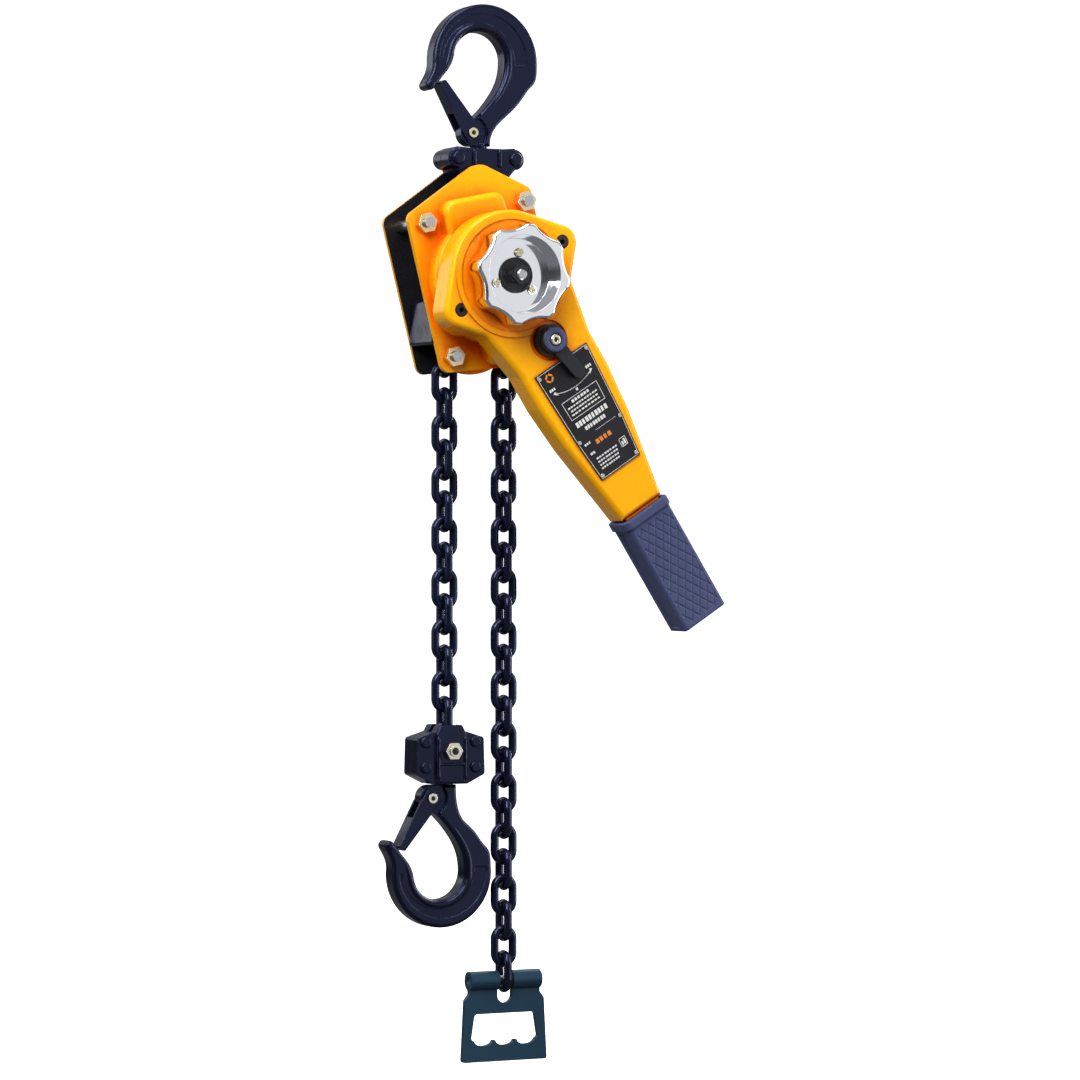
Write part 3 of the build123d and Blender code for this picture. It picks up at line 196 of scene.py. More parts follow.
def bare_metal(name, base, shade, rough, edge=0.0004, streak=None, grain=0.00001, scale=300.0):
    """Machined, plated or polished metal."""
    g = Graph(name)
    cloud = g.noise(14.0, 4.0)
    lines = g.noise(scale, 3.0, 0.6, streak)
    normal, rim = g.edges(edge)
    colour = g.mix(g.range(cloud, 0.35, 0.65), base, shade)
    colour = g.mix(g.maths("MULTIPLY", rim, 0.5), colour, tuple(min(1.0, c * 1.3) for c in base))
    g.link(colour, g.shader.inputs["Base Color"])
    g.link(g.range(lines, 0.3, 0.7, max(0.02, rough - 0.05), rough + 0.07), g.shader.inputs["Roughness"])
    g.link(g.bump(lines, 0.35, grain, normal), g.shader.inputs["Normal"])
    g.shader.inputs["Metallic"].default_value = 1.0
    return g.material


NAVY = (0.48, 0.56, 1.0)
finish = {
    # The red-orange mixed into the yellow enamel's hollows is painted shade.
    "yellow_paint": coated("yellow_enamel", (0.95, 0.43, 0.001), (0.93, 0.38, 0.001), (0.50, 0.16, 0.01),
                           0.26, coat=0.10, coat_rough=0.08, edge=0.0009, wear=0.45, grain=0.00010,
                           grain_scale=160.0, bare_metal=0.0, tint=(1.0, 0.72, 0.16),
                           hollow_shade=(0.030, 0.40, 0.98, (0.80, 0.095, 0.001)), dents=0.0006),
    # On the black paint and the chain, the bluish colour on worn edges is partly chipped paint and partly a
    # painted highlight along the edges.
    "black_paint": coated("black_satin", (0.0022, 0.0026, 0.0100), (0.0034, 0.004, 0.015),
                          (0.07, 0.08, 0.20), 0.20, edge=0.0014, wear=0.60, grain_scale=230.0,
                          bare_metal=0.2, specular=0.40, tint=NAVY, dents=0.0030),
    "chain": coated("chain_black", (0.0028, 0.0032, 0.0125), (0.0045, 0.005, 0.019), (0.08, 0.09, 0.19),
                    0.20, edge=0.0005, grain_scale=330.0, bare_metal=0.2, tint=NAVY),
    "handle_paint": coated("handle_teal", (0.006, 0.026, 0.052), (0.010, 0.036, 0.068), (0.16, 0.2, 0.24),
                           0.33, specular=0.4, bare_metal=0.2, tint=(0.6, 0.85, 1.0)),
    # The near-black colour in the grip's grooves and hollows is painted shade.
    "grip_rubber": coated("slate_rubber", (0.050, 0.060, 0.130), (0.060, 0.070, 0.150), (0.16, 0.17, 0.26),
                          0.50, wear=0.45, grain=0.00018, grain_scale=700.0, bare_metal=0.0,
                          specular=0.35, tint=NAVY, hollow_shade=(0.003, 0.45, 0.90, (0.010, 0.013, 0.034))),
    "plate_black": coated("plate_print", (0.008, 0.008, 0.011), (0.012, 0.012, 0.016), (0.35, 0.35, 0.36),
                          0.36, edge=0.0003, wear=0.6, grain=0.00003, specular=0.25, bare_metal=0.3),
    "black_bolt": coated("black_oxide", (0.020, 0.021, 0.026), (0.030, 0.031, 0.036), (0.25, 0.25, 0.27),
                         0.36, edge=0.0004, wear=0.5, metallic=0.6),
    "cast_iron": coated("cast_iron_skin", (0.10, 0.10, 0.11), (0.15, 0.15, 0.155), (0.4, 0.4, 0.42), 0.5,
                        wear=0.5, metallic=0.8, grain=0.0004, grain_scale=240.0),
    "friction": coated("woven_lining", (0.20, 0.13, 0.09), (0.14, 0.10, 0.08), (0.30, 0.24, 0.18), 0.72,
                       wear=0.3, bare_metal=0.0, grain=0.0003, grain_scale=900.0),
    "zinc": bare_metal("yellow_zinc", (0.80, 0.66, 0.36), (0.72, 0.70, 0.62), 0.24, streak=(1, 8, 1)),
    "steel": bare_metal("machined_steel", (0.55, 0.55, 0.57), (0.48, 0.48, 0.50), 0.27, streak=(1, 14, 1)),
    "spring_steel": bare_metal("spring_wire", (0.36, 0.36, 0.38), (0.28, 0.28, 0.30), 0.3),
    "bronze": bare_metal("bronze_turned", (0.62, 0.42, 0.18), (0.52, 0.34, 0.14), 0.3, streak=(1, 10, 1)),
    "chrome": bare_metal("polished_chrome", (0.84, 0.86, 0.90), (0.80, 0.82, 0.87), 0.07, edge=0.0006,
                         grain=0.00001, scale=60.0),
}


# depth from the middle plane, in metres, below which a side plate's surface is its inner face
PLATE_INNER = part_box("side_plate_back")[0].y + 0.3 * MM


def plate_paint():
    """Yellow enamel whose inner faces, between the two side plates, are black."""
    material = finish["yellow_paint"].copy()
    material.name = "plate_enamel"
    tree = material.node_tree
    shader = tree.nodes["Principled BSDF"]
    place = tree.nodes.new("ShaderNodeTexCoord").outputs["Object"]
    split = tree.nodes.new("ShaderNodeSeparateXYZ")
    depth = tree.nodes.new("ShaderNodeMath")
    depth.operation = "ABSOLUTE"
    inside = tree.nodes.new("ShaderNodeMath")
    inside.operation = "LESS_THAN"
    inside.inputs[1].default_value = PLATE_INNER
    blend = tree.nodes.new("ShaderNodeMix")
    blend.data_type = "RGBA"
    blend.inputs[7].default_value = (0.010, 0.010, 0.013, 1.0)
    tree.links.new(place, split.inputs[0])
    tree.links.new(split.outputs["Y"], depth.inputs[0])
    tree.links.new(depth.outputs[0], inside.inputs[0])
    tree.links.new(inside.outputs[0], blend.inputs["Factor"])
    tree.links.new(shader.inputs["Base Color"].links[0].from_socket, blend.inputs[6])
    tree.links.new(blend.outputs[2], shader.inputs["Base Color"])
    return material


finish["plate_enamel"] = plate_paint()
for entry in frame["record"]["subparts"]:
    node = nodes[entry["node"]]
    for slot in node.material_slots:
        slot.material = finish[entry["material_slot"]]
for name, look in (("side_plate_back", "plate_enamel"), ("side_plate_front", "plate_enamel"),
                   ("chain_guides", "black_paint"), ("shaft_nut", "black_bolt")):
    for slot in nodes[name].material_slots:
        slot.material = finish[look]

white_print = coated("white_print", (0.72, 0.72, 0.70), (0.62, 0.62, 0.60), (0.4, 0.4, 0.4), 0.4, wear=0.2,
                     bare_metal=0.0, edge=0.0002, grain=0.00002)
orange_print = coated("orange_print", (0.80, 0.24, 0.02), (0.66, 0.18, 0.02), (0.4, 0.2, 0.1), 0.4, wear=0.2,
                      bare_metal=0.0, edge=0.0002, grain=0.00002)


# ---- camera --------------------------------------------------------------------------------
VIEW_AZIMUTH = radians(-26.0)
CENTRE = Vector((0.0539, -0.0262, -0.4494))
VIEW_WIDTH = 1.0115
CAMERA_DISTANCE = 4.0
SENSOR = 36.0

to_camera = Vector((sin(VIEW_AZIMUTH), -cos(VIEW_AZIMUTH), 0.0))
camera_data = bpy.data.cameras.new("photo_camera")
camera_data.sensor_width = SENSOR
camera_data.lens = SENSOR * CAMERA_DISTANCE / VIEW_WIDTH
camera_data.clip_end = 60.0
camera = bpy.data.objects.new("photo_camera", camera_data)
camera.location = CENTRE + to_camera * CAMERA_DISTANCE
camera.rotation_euler = (pi / 2, 0.0, VIEW_AZIMUTH)
bpy.context.scene.collection.objects.link(camera)
bpy.context.scene.camera = camera
bpy.context.scene.view_settings.view_transform = "Standard"


# ---- mesh helpers --------------------------------------------------------------------------
def mesh_object(name, bm, material, smooth=True):
    """Turn a bmesh into a linked object with one material."""
    bmesh.ops.recalc_face_normals(bm, faces=bm.faces)
    mesh = bpy.data.meshes.new(name)
    bm.to_mesh(mesh)
    bm.free()
    for face in mesh.polygons:
        face.use_smooth = smooth
    mesh.materials.append(material)
    obj = bpy.data.objects.new(name, mesh)
    bpy.context.scene.collection.objects.link(obj)
    return obj


def join_rings(bm, rings):
    """Quads from each ring of vertices to the next; all rings have the same number."""
    for a, b in zip(rings, rings[1:]):
        for i in range(len(a)):
            j = (i + 1) % len(a)
            bm.faces.new((a[i], a[j], b[j], b[i]))


def fan(bm, pole, ring):
    """Triangles from one vertex to a ring."""
    for i in range(len(ring)):
        bm.faces.new((pole, ring[i], ring[(i + 1) % len(ring)]))


# ---- stage and lights ----------------------------------------------------------------------
# the sheet in metres: a flat floor, a quarter-round curve and a wall
FLOOR_DROP = 0.035
FLOOR_REACH, CURVE_RADIUS, WALL_TOP = 5.5, 2.5, 9.0
CURVE_STEPS, SHEET_SIDES = 12, 64


def backdrop():
    """One pale round sheet: a floor that curves up into a wall all round the hoist."""
    floor_z = cad_box[0].z - FLOOR_DROP
    profile = [(0.5, 0.0), (3.0, 0.0), (FLOOR_REACH, 0.0)]
    for i in range(1, CURVE_STEPS + 1):
        a = pi / 2 * i / CURVE_STEPS
        profile.append((FLOOR_REACH + CURVE_RADIUS * sin(a), CURVE_RADIUS - CURVE_RADIUS * cos(a)))
    profile.append((FLOOR_REACH + CURVE_RADIUS, WALL_TOP))
    turns = [2 * pi * k / SHEET_SIDES for k in range(SHEET_SIDES)]
    bm = bmesh.new()
    rings = [[bm.verts.new((reach * cos(a), reach * sin(a), floor_z + up)) for a in turns]
             for reach, up in profile]
    bm.faces.new(rings[0])
    join_rings(bm, rings)
    g = Graph("pale_sheet")
    g.link(g.mix(g.range(g.noise(1.2), 0.3, 0.7), (0.93, 0.93, 0.93), (0.90, 0.90, 0.905)),
           g.shader.inputs["Base Color"])
    g.shader.inputs["Roughness"].default_value = 0.9
    g.shader.inputs["Specular IOR Level"].default_value = 0.1
    g.shader.inputs["Emission Color"].default_value = (1.0, 1.0, 1.0, 1.0)
    g.shader.inputs["Emission Strength"].default_value = 0.88
    sheet = mesh_object("pale_floor", bm, g.material)
    sheet.visible_glossy = False
    sheet.visible_diffuse = False
    return sheet


backdrop()

LIGHT_AIM = Vector((0.02, 0.0, -0.4))
# name, azimuth and elevation in degrees, distance, width and height in metres, power in watts
LIGHTS = (
    ("key_left", -44.0, 34.0, 2.2, 0.8, 1.2, 40.0),
    ("front_right", 27.0, 2.0, 2.8, 1.5, 2.2, 8.0),
    ("edge_left", -95.0, 8.0, 2.4, 0.35, 2.0, 9.0),
    ("fill_right", 64.0, 4.0, 2.4, 0.7, 1.8, 30.0),
    ("top", -20.0, 66.0, 2.4, 1.2, 1.2, 34.0),
    ("back_left", -150.0, 25.0, 2.4, 0.6, 2.0, 7.0),
    ("back_right", 130.0, 20.0, 2.4, 0.6, 2.0, 26.0),
)


def soft_light(name, azimuth, elevation, distance, width, height, power):
    """Large area light aimed at the middle of the hoist."""
    data = bpy.data.lights.new(name, "AREA")
    data.shape = "RECTANGLE"
    data.size, data.size_y = width, height
    data.energy = power
    lamp = bpy.data.objects.new(name, data)
    a, e = radians(azimuth), radians(elevation)
    way = Vector((sin(a) * cos(e), -cos(a) * cos(e), sin(e)))
    lamp.location = LIGHT_AIM + way * distance
    lamp.rotation_mode = "QUATERNION"
    lamp.rotation_quaternion = way.to_track_quat("Z", "Y")
    bpy.context.scene.collection.objects.link(lamp)


for light in LIGHTS:
    soft_light(*light)


def studio_world():
    """Soft room: bright overhead, dim round the horizon, a little light from below."""
    world = bpy.data.worlds.new("studio")
    world.use_nodes = True
    tree = world.node_tree
    place = tree.nodes.new("ShaderNodeTexCoord").outputs["Generated"]
    split = tree.nodes.new("ShaderNodeSeparateXYZ")
    ramp = tree.nodes.new("ShaderNodeValToRGB")
    height = tree.nodes.new("ShaderNodeMapRange")
    height.inputs["From Min"].default_value = -1.0
    tree.links.new(place, split.inputs[0])
    tree.links.new(split.outputs["Z"], height.inputs["Value"])
    tree.links.new(height.outputs["Result"], ramp.inputs["Fac"])
    # (height from straight down at 0 to straight up at 1, brightness)
    stops = ((0.0, 0.30), (0.38, 0.34), (0.47, 0.10), (0.56, 0.14), (0.68, 0.62), (1.0, 0.80))
    elements = ramp.color_ramp.elements
    while len(elements) < len(stops):
        elements.new(0.5)
    for element, (spot, level) in zip(elements, stops):
        element.position = spot
        element.color = (level, level, level * 1.02, 1.0)
    tree.links.new(ramp.outputs["Color"], tree.nodes["Background"].inputs["Color"])
    tree.nodes["Background"].inputs["Strength"].default_value = 0.62
    return world


bpy.context.scene.world = studio_world()


# ---- directions of the lever ---------------------------------------------------------------
hub_low, hub_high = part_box("hub_plate")
AXIS_X = (hub_low.x + hub_high.x) / 2
AXIS_Z = (hub_low.z + hub_high.z) / 2
LEVER_ROLL = radians(32.5)


def lever_point(t, s, y):
    """Across the lever, down the lever from its axis, and depth, in millimetres."""
    t, s = t * MM, s * MM
    return Vector((AXIS_X + t * cos(LEVER_ROLL) + s * sin(LEVER_ROLL), y * MM,
                   AXIS_Z + t * sin(LEVER_ROLL) - s * cos(LEVER_ROLL)))


# ---- round pieces --------------------------------------------------------------------------
def lathe(name, profile, place, material, sides=48):
    """Round piece: (radius, height) pairs turned about place's own Z axis, in millimetres."""
    bm = bmesh.new()
    rings = []
    turns = [2 * pi * i / sides for i in range(sides)]
    for radius, height in profile:
        if radius == 0:
            rings.append([bm.verts.new(place @ Vector((0, 0, height * MM)))])
            continue
        ring = [bm.verts.new(place @ Vector((radius * cos(a) * MM, radius * sin(a) * MM, height * MM)))
                for a in turns]
        rings.append(ring)
    for a, b in zip(rings, rings[1:]):
        for i in range(sides):
            j = (i + 1) % sides
            if len(a) == 1:
                bm.faces.new((a[0], b[i], b[j]))
            elif len(b) == 1:
                bm.faces.new((a[i], a[j], b[0]))
            else:
                bm.faces.new((a[i], a[j], b[j], b[i]))
    return mesh_object(name, bm, material)


def facing(point):
    """Placement whose Z axis points to the front, with X across the lever."""
    across = Vector((cos(LEVER_ROLL), 0, sin(LEVER_ROLL)))
    front = Vector((0, -1, 0))
    up = front.cross(across)
    turn = Matrix((across, up, front)).transposed().to_4x4()
    return Matrix.Translation(point) @ turn


# ---- grip ----------------------------------------------------------------------------------
# t runs across the lever, s down it and d through its depth, in millimetres. A pair of numbers is
# where one surface starts and ends its blend into the next.
GRIP_START, GRIP_END = 254.0, 374.6
GRIP_HALF, GRIP_DEEP, GRIP_CORNER = 24.3, 16.2, 3.6
GRIP_MIDDLE = -68.0
GRIP_STEP, SECTION_STEP, CORNER_STEPS = 0.62, 0.6, 6
BORE_HALF, BORE_DEEP, BORE_END = 20.1, 12.1, 366.0
SKIN, FLANGE = 0.75, 2.75
FLANGE_FADE = (262.0, 263.4)
PANEL_START, PANEL_END = (266.5, 267.5), (369.5, 370.5)
PANEL_SIDE, EDGE_PANEL_SIDE = (20.2, 21.2), (7.5, 8.6)
EDGE_PANEL_SINK = 1.5
PAD_ACROSS, PAD_ALONG, PAD_ORIGIN = 9.2, 14.5, 260
PAD_RISE, PAD_SINK = 0.62, 0.15
PAD_GROOVE = (0.035, 0.11)
FLAT = 0.99


def rounded_section(half, deep, corner, step):
    """Points and outward directions round a rounded rectangle, evenly spaced."""
    spots = []
    for cx, cy, start in ((1, 1, 0), (-1, 1, 90), (-1, -1, 180), (1, -1, 270)):
        centre = ((half - corner) * cx, (deep - corner) * cy)
        for i in range(CORNER_STEPS + 1):
            a = radians(start + 90 * i / CORNER_STEPS)
            spots.append((centre[0] + corner * cos(a), centre[1] + corner * sin(a), cos(a), sin(a)))
        length = 2 * ((half if start in (0, 180) else deep) - corner)
        way = radians(start + 90) + pi / 2
        last = spots[-1]
        count = int(length / step)
        for i in range(1, count):
            d = length * i / count
            spots.append((last[0] + cos(way) * d, last[1] + sin(way) * d, last[2], last[3]))
    return spots


def smooth_step(value, low, high):
    """0 below low, 1 above high, with a smooth step between."""
    x = min(1.0, max(0.0, (value - low) / (high - low)))
    return x * x * (3 - 2 * x)


def grip_relief(t, d, n_t, n_d, s):
    """How far the grip's skin stands out at one spot whose outward direction is (n_t, n_d)."""
    flange = 1 - smooth_step(s, *FLANGE_FADE)
    panel_s = smooth_step(s, *PANEL_START) * (1 - smooth_step(s, *PANEL_END))
    relief = SKIN
    if abs(n_d) > FLAT:
        panel = panel_s * (1 - smooth_step(abs(t), *PANEL_SIDE))
        u = t / PAD_ACROSS + (s - PAD_ORIGIN) / PAD_ALONG
        v = t / PAD_ACROSS - (s - PAD_ORIGIN) / PAD_ALONG
        gap = min(abs(u - round(u)), abs(v - round(v)))
        relief = SKIN * (1 - panel) + panel * (PAD_RISE * smooth_step(gap, *PAD_GROOVE) - PAD_SINK)
    elif abs(n_t) > FLAT:
        relief = SKIN - EDGE_PANEL_SINK * panel_s * (1 - smooth_step(abs(d), *EDGE_PANEL_SIDE))
    return relief * (1 - flange) + FLANGE * flange


def build_grip():
    """Rubber grip with a flange, diamond pads and a bore round the lever's tail bar."""
    section = rounded_section(GRIP_HALF, GRIP_DEEP, GRIP_CORNER, SECTION_STEP)
    # (distance down the lever, how far the skin is moved out there), with both ends rounded
    stations = [(GRIP_START, -1.2), (GRIP_START + 0.35, -0.4)]
    s = GRIP_START + 1.0
    while s < GRIP_END - 1.6:
        stations.append((s, 0.0))
        s += GRIP_STEP
    stations += [(GRIP_END - 1.5, 0.0), (GRIP_END - 0.7, -0.25), (GRIP_END - 0.2, -0.8), (GRIP_END, -1.6)]
    bm = bmesh.new()
    rings = []
    for s, extra in stations:
        ring = []
        for t, d, n_t, n_d in section:
            out = grip_relief(t, d, n_t, n_d, s) + extra
            ring.append(bm.verts.new(lever_point(t + n_t * out, s, GRIP_MIDDLE + (d + n_d * out))))
        rings.append(ring)
    join_rings(bm, rings)
    bm.faces.new(rings[-1])
    bore = []
    for s in (GRIP_START, BORE_END):
        bore.append([bm.verts.new(lever_point(t * BORE_HALF / GRIP_HALF, s,
                                              GRIP_MIDDLE + d * BORE_DEEP / GRIP_DEEP))
                     for t, d, _, _ in section])
    join_rings(bm, [rings[0], *bore])
    bm.faces.new(bore[1])
    return mesh_object("rubber_grip", bm, finish["grip_rubber"])


grip = build_grip()
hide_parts("lever_grip")
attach(grip, "lever")


# ---- beads and noses of the hooks ------------------------------------------------------------
# Millimetres. ACROSS is from the low X side of a hook's box, ALONG from the hook's outer end.
BOWL_ACROSS, BOWL_ALONG, BOWL_RADIUS = 55.3, 52.0, 30.6
NOSE_ACROSS, NOSE_ALONG = 5.75, 76.5
NOSE_RADIUS, NOSE_HALF, NOSE_BLUNT = 5.7, 10.4, 0.6
NOSE_STEPS, NOSE_SIDES = 16, 24
FACE_INSET = 2.5
BEAD, BEAD_SINK = 3.6, 2.1
BEAD_END, BEAD_GROWTH = 0.15, sqrt(1.6)
# the bead's path before and after the round of the bowl, from the bowl's centre
TIP_SIDE = [(-38.5, -13.0), (-34.6, -7.5), (-31.6, 0.0)]
STEM_SIDE = [(29.6, -12.0), (24.2, -26.0), (15.4, -39.5), (5.6, -52.0)]
DEPTH_WAY = Vector((0, 1, 0))


def smooth_path(points, per_run=6):
    """Catmull-Rom path through the points."""
    path = []
    padded = [points[0]] + points + [points[-1]]
    for a, b, c, d in zip(padded, padded[1:], padded[2:], padded[3:]):
        for i in range(per_run):
            u = i / per_run
            path.append(0.5 * (2 * b + (c - a) * u + (2 * a - 5 * b + 4 * c - d) * u * u
                               + (3 * b - a - 3 * c + d) * u ** 3))
    return path + [points[-1]]


def tube(name, path, radius_at, material, sides=14):
    """Round bar along a path in one XZ plane, with closed ends. radius_at takes 0 to 1 along it."""
    bm = bmesh.new()
    rings = []
    turns = [2 * pi * k / sides for k in range(sides)]
    for i, spot in enumerate(path):
        way = (path[min(i + 1, len(path) - 1)] - path[max(i - 1, 0)]).normalized()
        across = way.cross(DEPTH_WAY).normalized()
        radius = radius_at(i / (len(path) - 1))
        rings.append([bm.verts.new(spot + (across * cos(a) + DEPTH_WAY * sin(a)) * radius) for a in turns])
    join_rings(bm, rings)
    bm.faces.new(rings[0][::-1])
    bm.faces.new(rings[-1])
    return mesh_object(name, bm, material)


def rounded_ends(u, least, growth):
    """Share of the full radius at u from 0 to 1: least at both ends, and 1 between."""
    return min(1.0, least + growth * sqrt(max(0.0, sin(pi * u))))


def hook_spot(prefix, up, across, along):
    """Point in a hook's middle plane. up is 1 for the top hook and -1 for the bottom one."""
    low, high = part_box(prefix + "_hook")
    return Vector((low.x + across * MM, 0.0, (high.z if up > 0 else low.z) - along * MM * up))


def hook_beads(prefix, up):
    """Two beads, front and back, along the inner edge of one hook."""
    low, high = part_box(prefix + "_hook")
    face = (high.y - low.y) / 2 - FACE_INSET * MM
    bowl = hook_spot(prefix, up, BOWL_ACROSS, BOWL_ALONG)
    bend = [radians(a) for a in range(165, -1, -12)]
    inner = TIP_SIDE + [(BOWL_RADIUS * cos(a), BOWL_RADIUS * sin(a)) for a in bend] + STEM_SIDE
    for side, word in ((-1, "front"), (1, "back")):
        points = [bowl + Vector((x * MM, side * (face - BEAD_SINK * MM), z * MM * up)) for x, z in inner]
        bead = tube(f"{prefix}_hook_bead_{word}", smooth_path(points),
                    lambda u: BEAD * MM * rounded_ends(u, BEAD_END, BEAD_GROWTH), finish["black_paint"])
        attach(bead, prefix + "_hook")


hook_beads("top", 1)
hook_beads("bottom", -1)


# ---- ribs of the yoke and the bottom block ---------------------------------------------------
RIB_STEPS = 12
RIB_END, RIB_GROWTH = 0.25, 3.0
BAR_RADIUS, BAR_STEP = 1.6, 2.2
BLOCK_SINK = 0.4


def upright_rib(name, body, x, low, high, face, radius):
    """A rounded upright rib on the front face of a body; all sizes in metres."""
    points = [Vector((x, face, low + (high - low) * i / RIB_STEPS)) for i in range(RIB_STEPS + 1)]
    rib = tube(name, points, lambda u: radius * rounded_ends(u, RIB_END, RIB_GROWTH), finish["black_paint"])
    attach(rib, body)


yoke_low, yoke_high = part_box("top_yoke_front")
yoke_centre = (yoke_low.x + yoke_high.x) / 2
for word, shift in (("left", -13.0), ("right", 13.0)):
    upright_rib(f"yoke_rib_{word}", "yoke", yoke_centre + shift * MM, yoke_high.z - 19.0 * MM,
                yoke_high.z - 1.5 * MM, yoke_low.y, 2.4 * MM)


def depth_ring(bm, centre, reach, out, sides):
    """Ring of vertices round the Y axis through centre, moved out to the front, in metres."""
    turns = [2 * pi * k / sides for k in range(sides)]
    return [bm.verts.new(centre + Vector((reach * cos(a), -out, reach * sin(a)))) for a in turns]


def hook_nose(prefix, up):
    """Rounded nose at the tip of a hook, through its whole thickness."""
    centre = hook_spot(prefix, up, NOSE_ACROSS, NOSE_ALONG)
    bm = bmesh.new()
    rings = []
    for i in range(1, NOSE_STEPS):
        a = pi * i / NOSE_STEPS
        rings.append(depth_ring(bm, centre, NOSE_RADIUS * MM * sin(a) ** NOSE_BLUNT,
                                NOSE_HALF * MM * cos(a), NOSE_SIDES))
    for side, ring in ((1, rings[0]), (-1, rings[-1])):
        fan(bm, bm.verts.new(centre - DEPTH_WAY * (NOSE_HALF * MM * side)), ring)
    join_rings(bm, rings)
    knob = mesh_object(f"{prefix}_hook_tip", bm, finish["black_paint"])
    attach(knob, prefix + "_hook")


hook_nose("top", 1)
hook_nose("bottom", -1)


# ---- dark ends of the pins -------------------------------------------------------------------
CAP_SINK, CAP_DEPTH = 0.1, 0.5
CAP_STEPS, CAP_SIDES = 8, 28


def pin_end(name, body, pin_box, radius, slot):
    """A shallow rounded cap on the front end of the pin in the given box."""
    low, high = pin_box
    centre = (low + high) / 2
    centre.y = low.y + CAP_SINK * MM
    depth = CAP_DEPTH * MM
    bm = bmesh.new()
    rings = []
    for i in range(1, CAP_STEPS + 1):
        a = pi / 2 * i / CAP_STEPS
        rings.append(depth_ring(bm, centre, radius * MM * sin(a), depth * cos(a), CAP_SIDES))
    fan(bm, bm.verts.new(centre - DEPTH_WAY * depth), rings[0])
    join_rings(bm, rings)
    bm.faces.new(rings[-1][::-1])
    cap = mesh_object(name, bm, finish[slot])
    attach(cap, body)


for prefix in ("top", "bottom"):
    pin_end(f"{prefix}_latch_pin_end", prefix + "_hook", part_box(prefix + "_latch_pin"), 2.3, "black_bolt")

block_low, block_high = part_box("block_front")
block_centre = (block_low.x + block_high.x) / 2
block_face = block_low.y + BLOCK_SINK * MM
for word, shift in (("left", -13.6), ("right", 13.6)):
    upright_rib(f"block_rib_{word}", "bottom_block", block_centre + shift * MM, block_high.z - 53.0 * MM,
                block_high.z - 9.0 * MM, block_face, 1.9 * MM)
for word, drop in (("middle", 36.5), ("foot", 52.0)):
    points = [Vector((block_centre + (i - RIB_STEPS / 2) * BAR_STEP * MM, block_face,
                      block_high.z - drop * MM)) for i in range(RIB_STEPS + 1)]
    bar_rib = tube(f"block_rib_{word}", points, lambda u: BAR_RADIUS * MM, finish["black_paint"])
    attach(bar_rib, "bottom_block")
pin_end("anchor_bolt_end", "bottom_block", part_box("anchor_bolt"), 3.6, "black_bolt")


# ---- marks on the name plate --------------------------------------------------------------
# All numbers below are (t, s) places or sizes in millimetres: t across the lever, s down it.
plate_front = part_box("name_plate")[0].y / MM
SELECTOR_S = 69.5
MARK_HEIGHT = 0.14
PLATE_TOP, PLATE_KNEE = 91, 168


def add_mark(bm, corners):
    """One flat printed mark with the given (t, s) corners, just proud of the plate."""
    top = [bm.verts.new(lever_point(t, s, plate_front - MARK_HEIGHT)) for t, s in corners]
    base = [bm.verts.new(lever_point(t, s, plate_front)) for t, s in corners]
    bm.faces.new(top)
    bm.faces.new(base[::-1])
    for i in range(len(corners)):
        j = (i + 1) % len(corners)
        bm.faces.new((top[i], base[i], base[j], top[j]))


def bar(bm, t0, t1, s0, s1):
    """A mark with straight sides along and across the lever."""
    add_mark(bm, ((t0, s0), (t1, s0), (t1, s1), (t0, s1)))


def stroke(bm, points, width, closed=False):
    """A line of constant width through the points, as one mark per run."""
    runs = list(zip(points, points[1:] + points[:1])) if closed else list(zip(points, points[1:]))
    for (t0, s0), (t1, s1) in runs:
        length = sqrt((t1 - t0) ** 2 + (s1 - s0) ** 2)
        dt, ds = (t1 - t0) / length * width / 2, (s1 - s0) / length * width / 2
        add_mark(bm, ((t0 - dt - ds, s0 - ds + dt), (t1 + dt - ds, s1 + ds + dt),
                      (t1 + dt + ds, s1 + ds - dt), (t0 - dt + ds, s0 - ds - dt)))


def word_row(bm, left, right, s, height, blocks):
    """A row of short blocks that stands in for a printed line."""
    width = (right - left) / blocks
    for i in range(blocks):
        # the gap after a block takes one of three widths in turn
        shrink = 0.22 + 0.16 * ((i * 7) % 3) / 2
        bar(bm, left + width * i, left + width * (i + 1 - shrink), s, s + height)


def plate_width(s):
    """Half-width of the name plate at a distance down the lever; it narrows in two straight runs."""
    if s < PLATE_KNEE:
        return 31.5 - 4.0 * (s - PLATE_TOP) / 77
    return 27.5 - 4.1 * (s - PLATE_KNEE) / 40


marks = bmesh.new()
rim = [(plate_width(s) - 1.3, s) for s in (92.3, 168.0, 206.7)]
stroke(marks, rim + [(-t, s) for t, s in reversed(rim)], 0.45, closed=True)
ARC, ARC_HALF = 50.0, 24
arc = [(ARC * sin(radians(a)), SELECTOR_S + ARC * cos(radians(a))) for a in range(-ARC_HALF, ARC_HALF + 1, 4)]
stroke(marks, arc, 0.7)
for side in (-1, 1):
    end_t, end_s = ARC * sin(radians(ARC_HALF)) * side, SELECTOR_S + ARC * cos(radians(ARC_HALF))
    add_mark(marks, ((end_t - 1.4 * side, end_s + 2.4), (end_t + 0.6 * side, end_s - 2.4),
                     (end_t + 3.4 * side, end_s - 1.0)))
    word_row(marks, end_t + 1.5 * side - 3.6, end_t + 1.5 * side + 3.6, end_s - 6.4, 2.6, 3)
bar(marks, -1.2, 1.2, SELECTOR_S + ARC + 1.4, SELECTOR_S + ARC + 4.0)
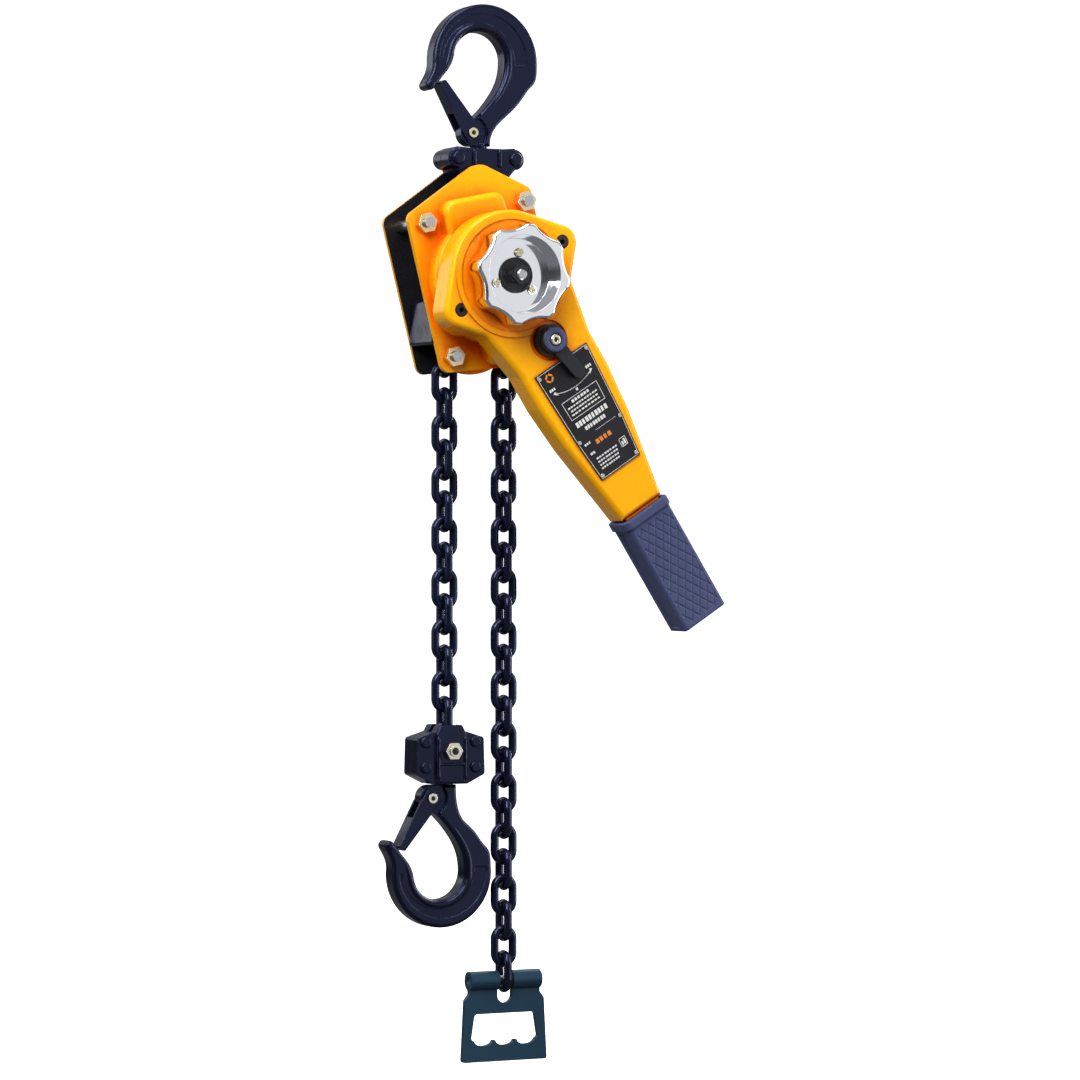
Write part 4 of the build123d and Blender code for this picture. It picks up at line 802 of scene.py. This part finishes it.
stroke(marks, [(-21, 126), (21, 126), (20.2, 144.5), (-20.2, 144.5)], 0.5, closed=True)
word_row(marks, -11, 11, 128.0, 2.6, 6)
for row, half in enumerate((18.0, 16.5, 17.5)):
    word_row(marks, -half, half, 132.8 + 3.6 * row, 1.5, 11 - row)
word_row(marks, -19.0, 19.0, 148.5, 5.0, 10)
word_row(marks, -12.5, 12.5, 156.2, 3.6, 8)
stroke(marks, [(-4, 164.5), (20, 164.5)], 0.3)
word_row(marks, -21.5, -14.0, 170.0, 2.0, 3)
word_row(marks, -20.5, -14.5, 180.0, 2.2, 2)
for row in range(4):
    word_row(marks, -17.5, 8.0 - row, 187.0 + 3.5 * row, 1.6, 8)
stroke(marks, [(11.5, 184.5), (18.5, 184.5), (18.0, 192.5), (11.0, 192.5)], 0.6, closed=True)
bar(marks, 12.6, 14.4, 187.6, 191.4)
bar(marks, 15.2, 17.2, 186.0, 191.4)
plate_marks = mesh_object("plate_marks", marks, white_print, smooth=False)
orange = bmesh.new()
stroke(orange, [(-19.0, 94.6), (-14.4, 99.2), (-19.0, 103.8), (-23.6, 99.2)], 1.7, closed=True)
word_row(orange, -9.5, 9.5, 172.0, 4.4, 4)
plate_accents = mesh_object("plate_accents", orange, orange_print, smooth=False)
for piece in (plate_marks, plate_accents):
    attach(piece, "lever")


# ---- selector trim -------------------------------------------------------------------------
# (radius, height above the knob's face) in millimetres
RING_PROFILE = [(6.2, -1.0), (6.2, 0.15), (6.8, 0.6), (10.4, 0.6), (11.2, 0.2), (11.6, -0.5), (11.6, -1.0)]
SCREW_PROFILE = [(0, -0.6), (1.9, -0.6), (2.1, 0.9), (2.4, 1.1), (4.2, 1.1), (4.8, 0.8), (5.1, 0.2),
                 (5.1, -1.0)]

knob_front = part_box("selector_knob")[0].y / MM
knob_place = facing(lever_point(0, SELECTOR_S, knob_front))
knob_ring = lathe("selector_ring", RING_PROFILE, knob_place, finish["grip_rubber"])
knob_screw = lathe("selector_screw", SCREW_PROFILE, knob_place, finish["zinc"])
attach(knob_ring, "selector")
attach(knob_screw, "selector")
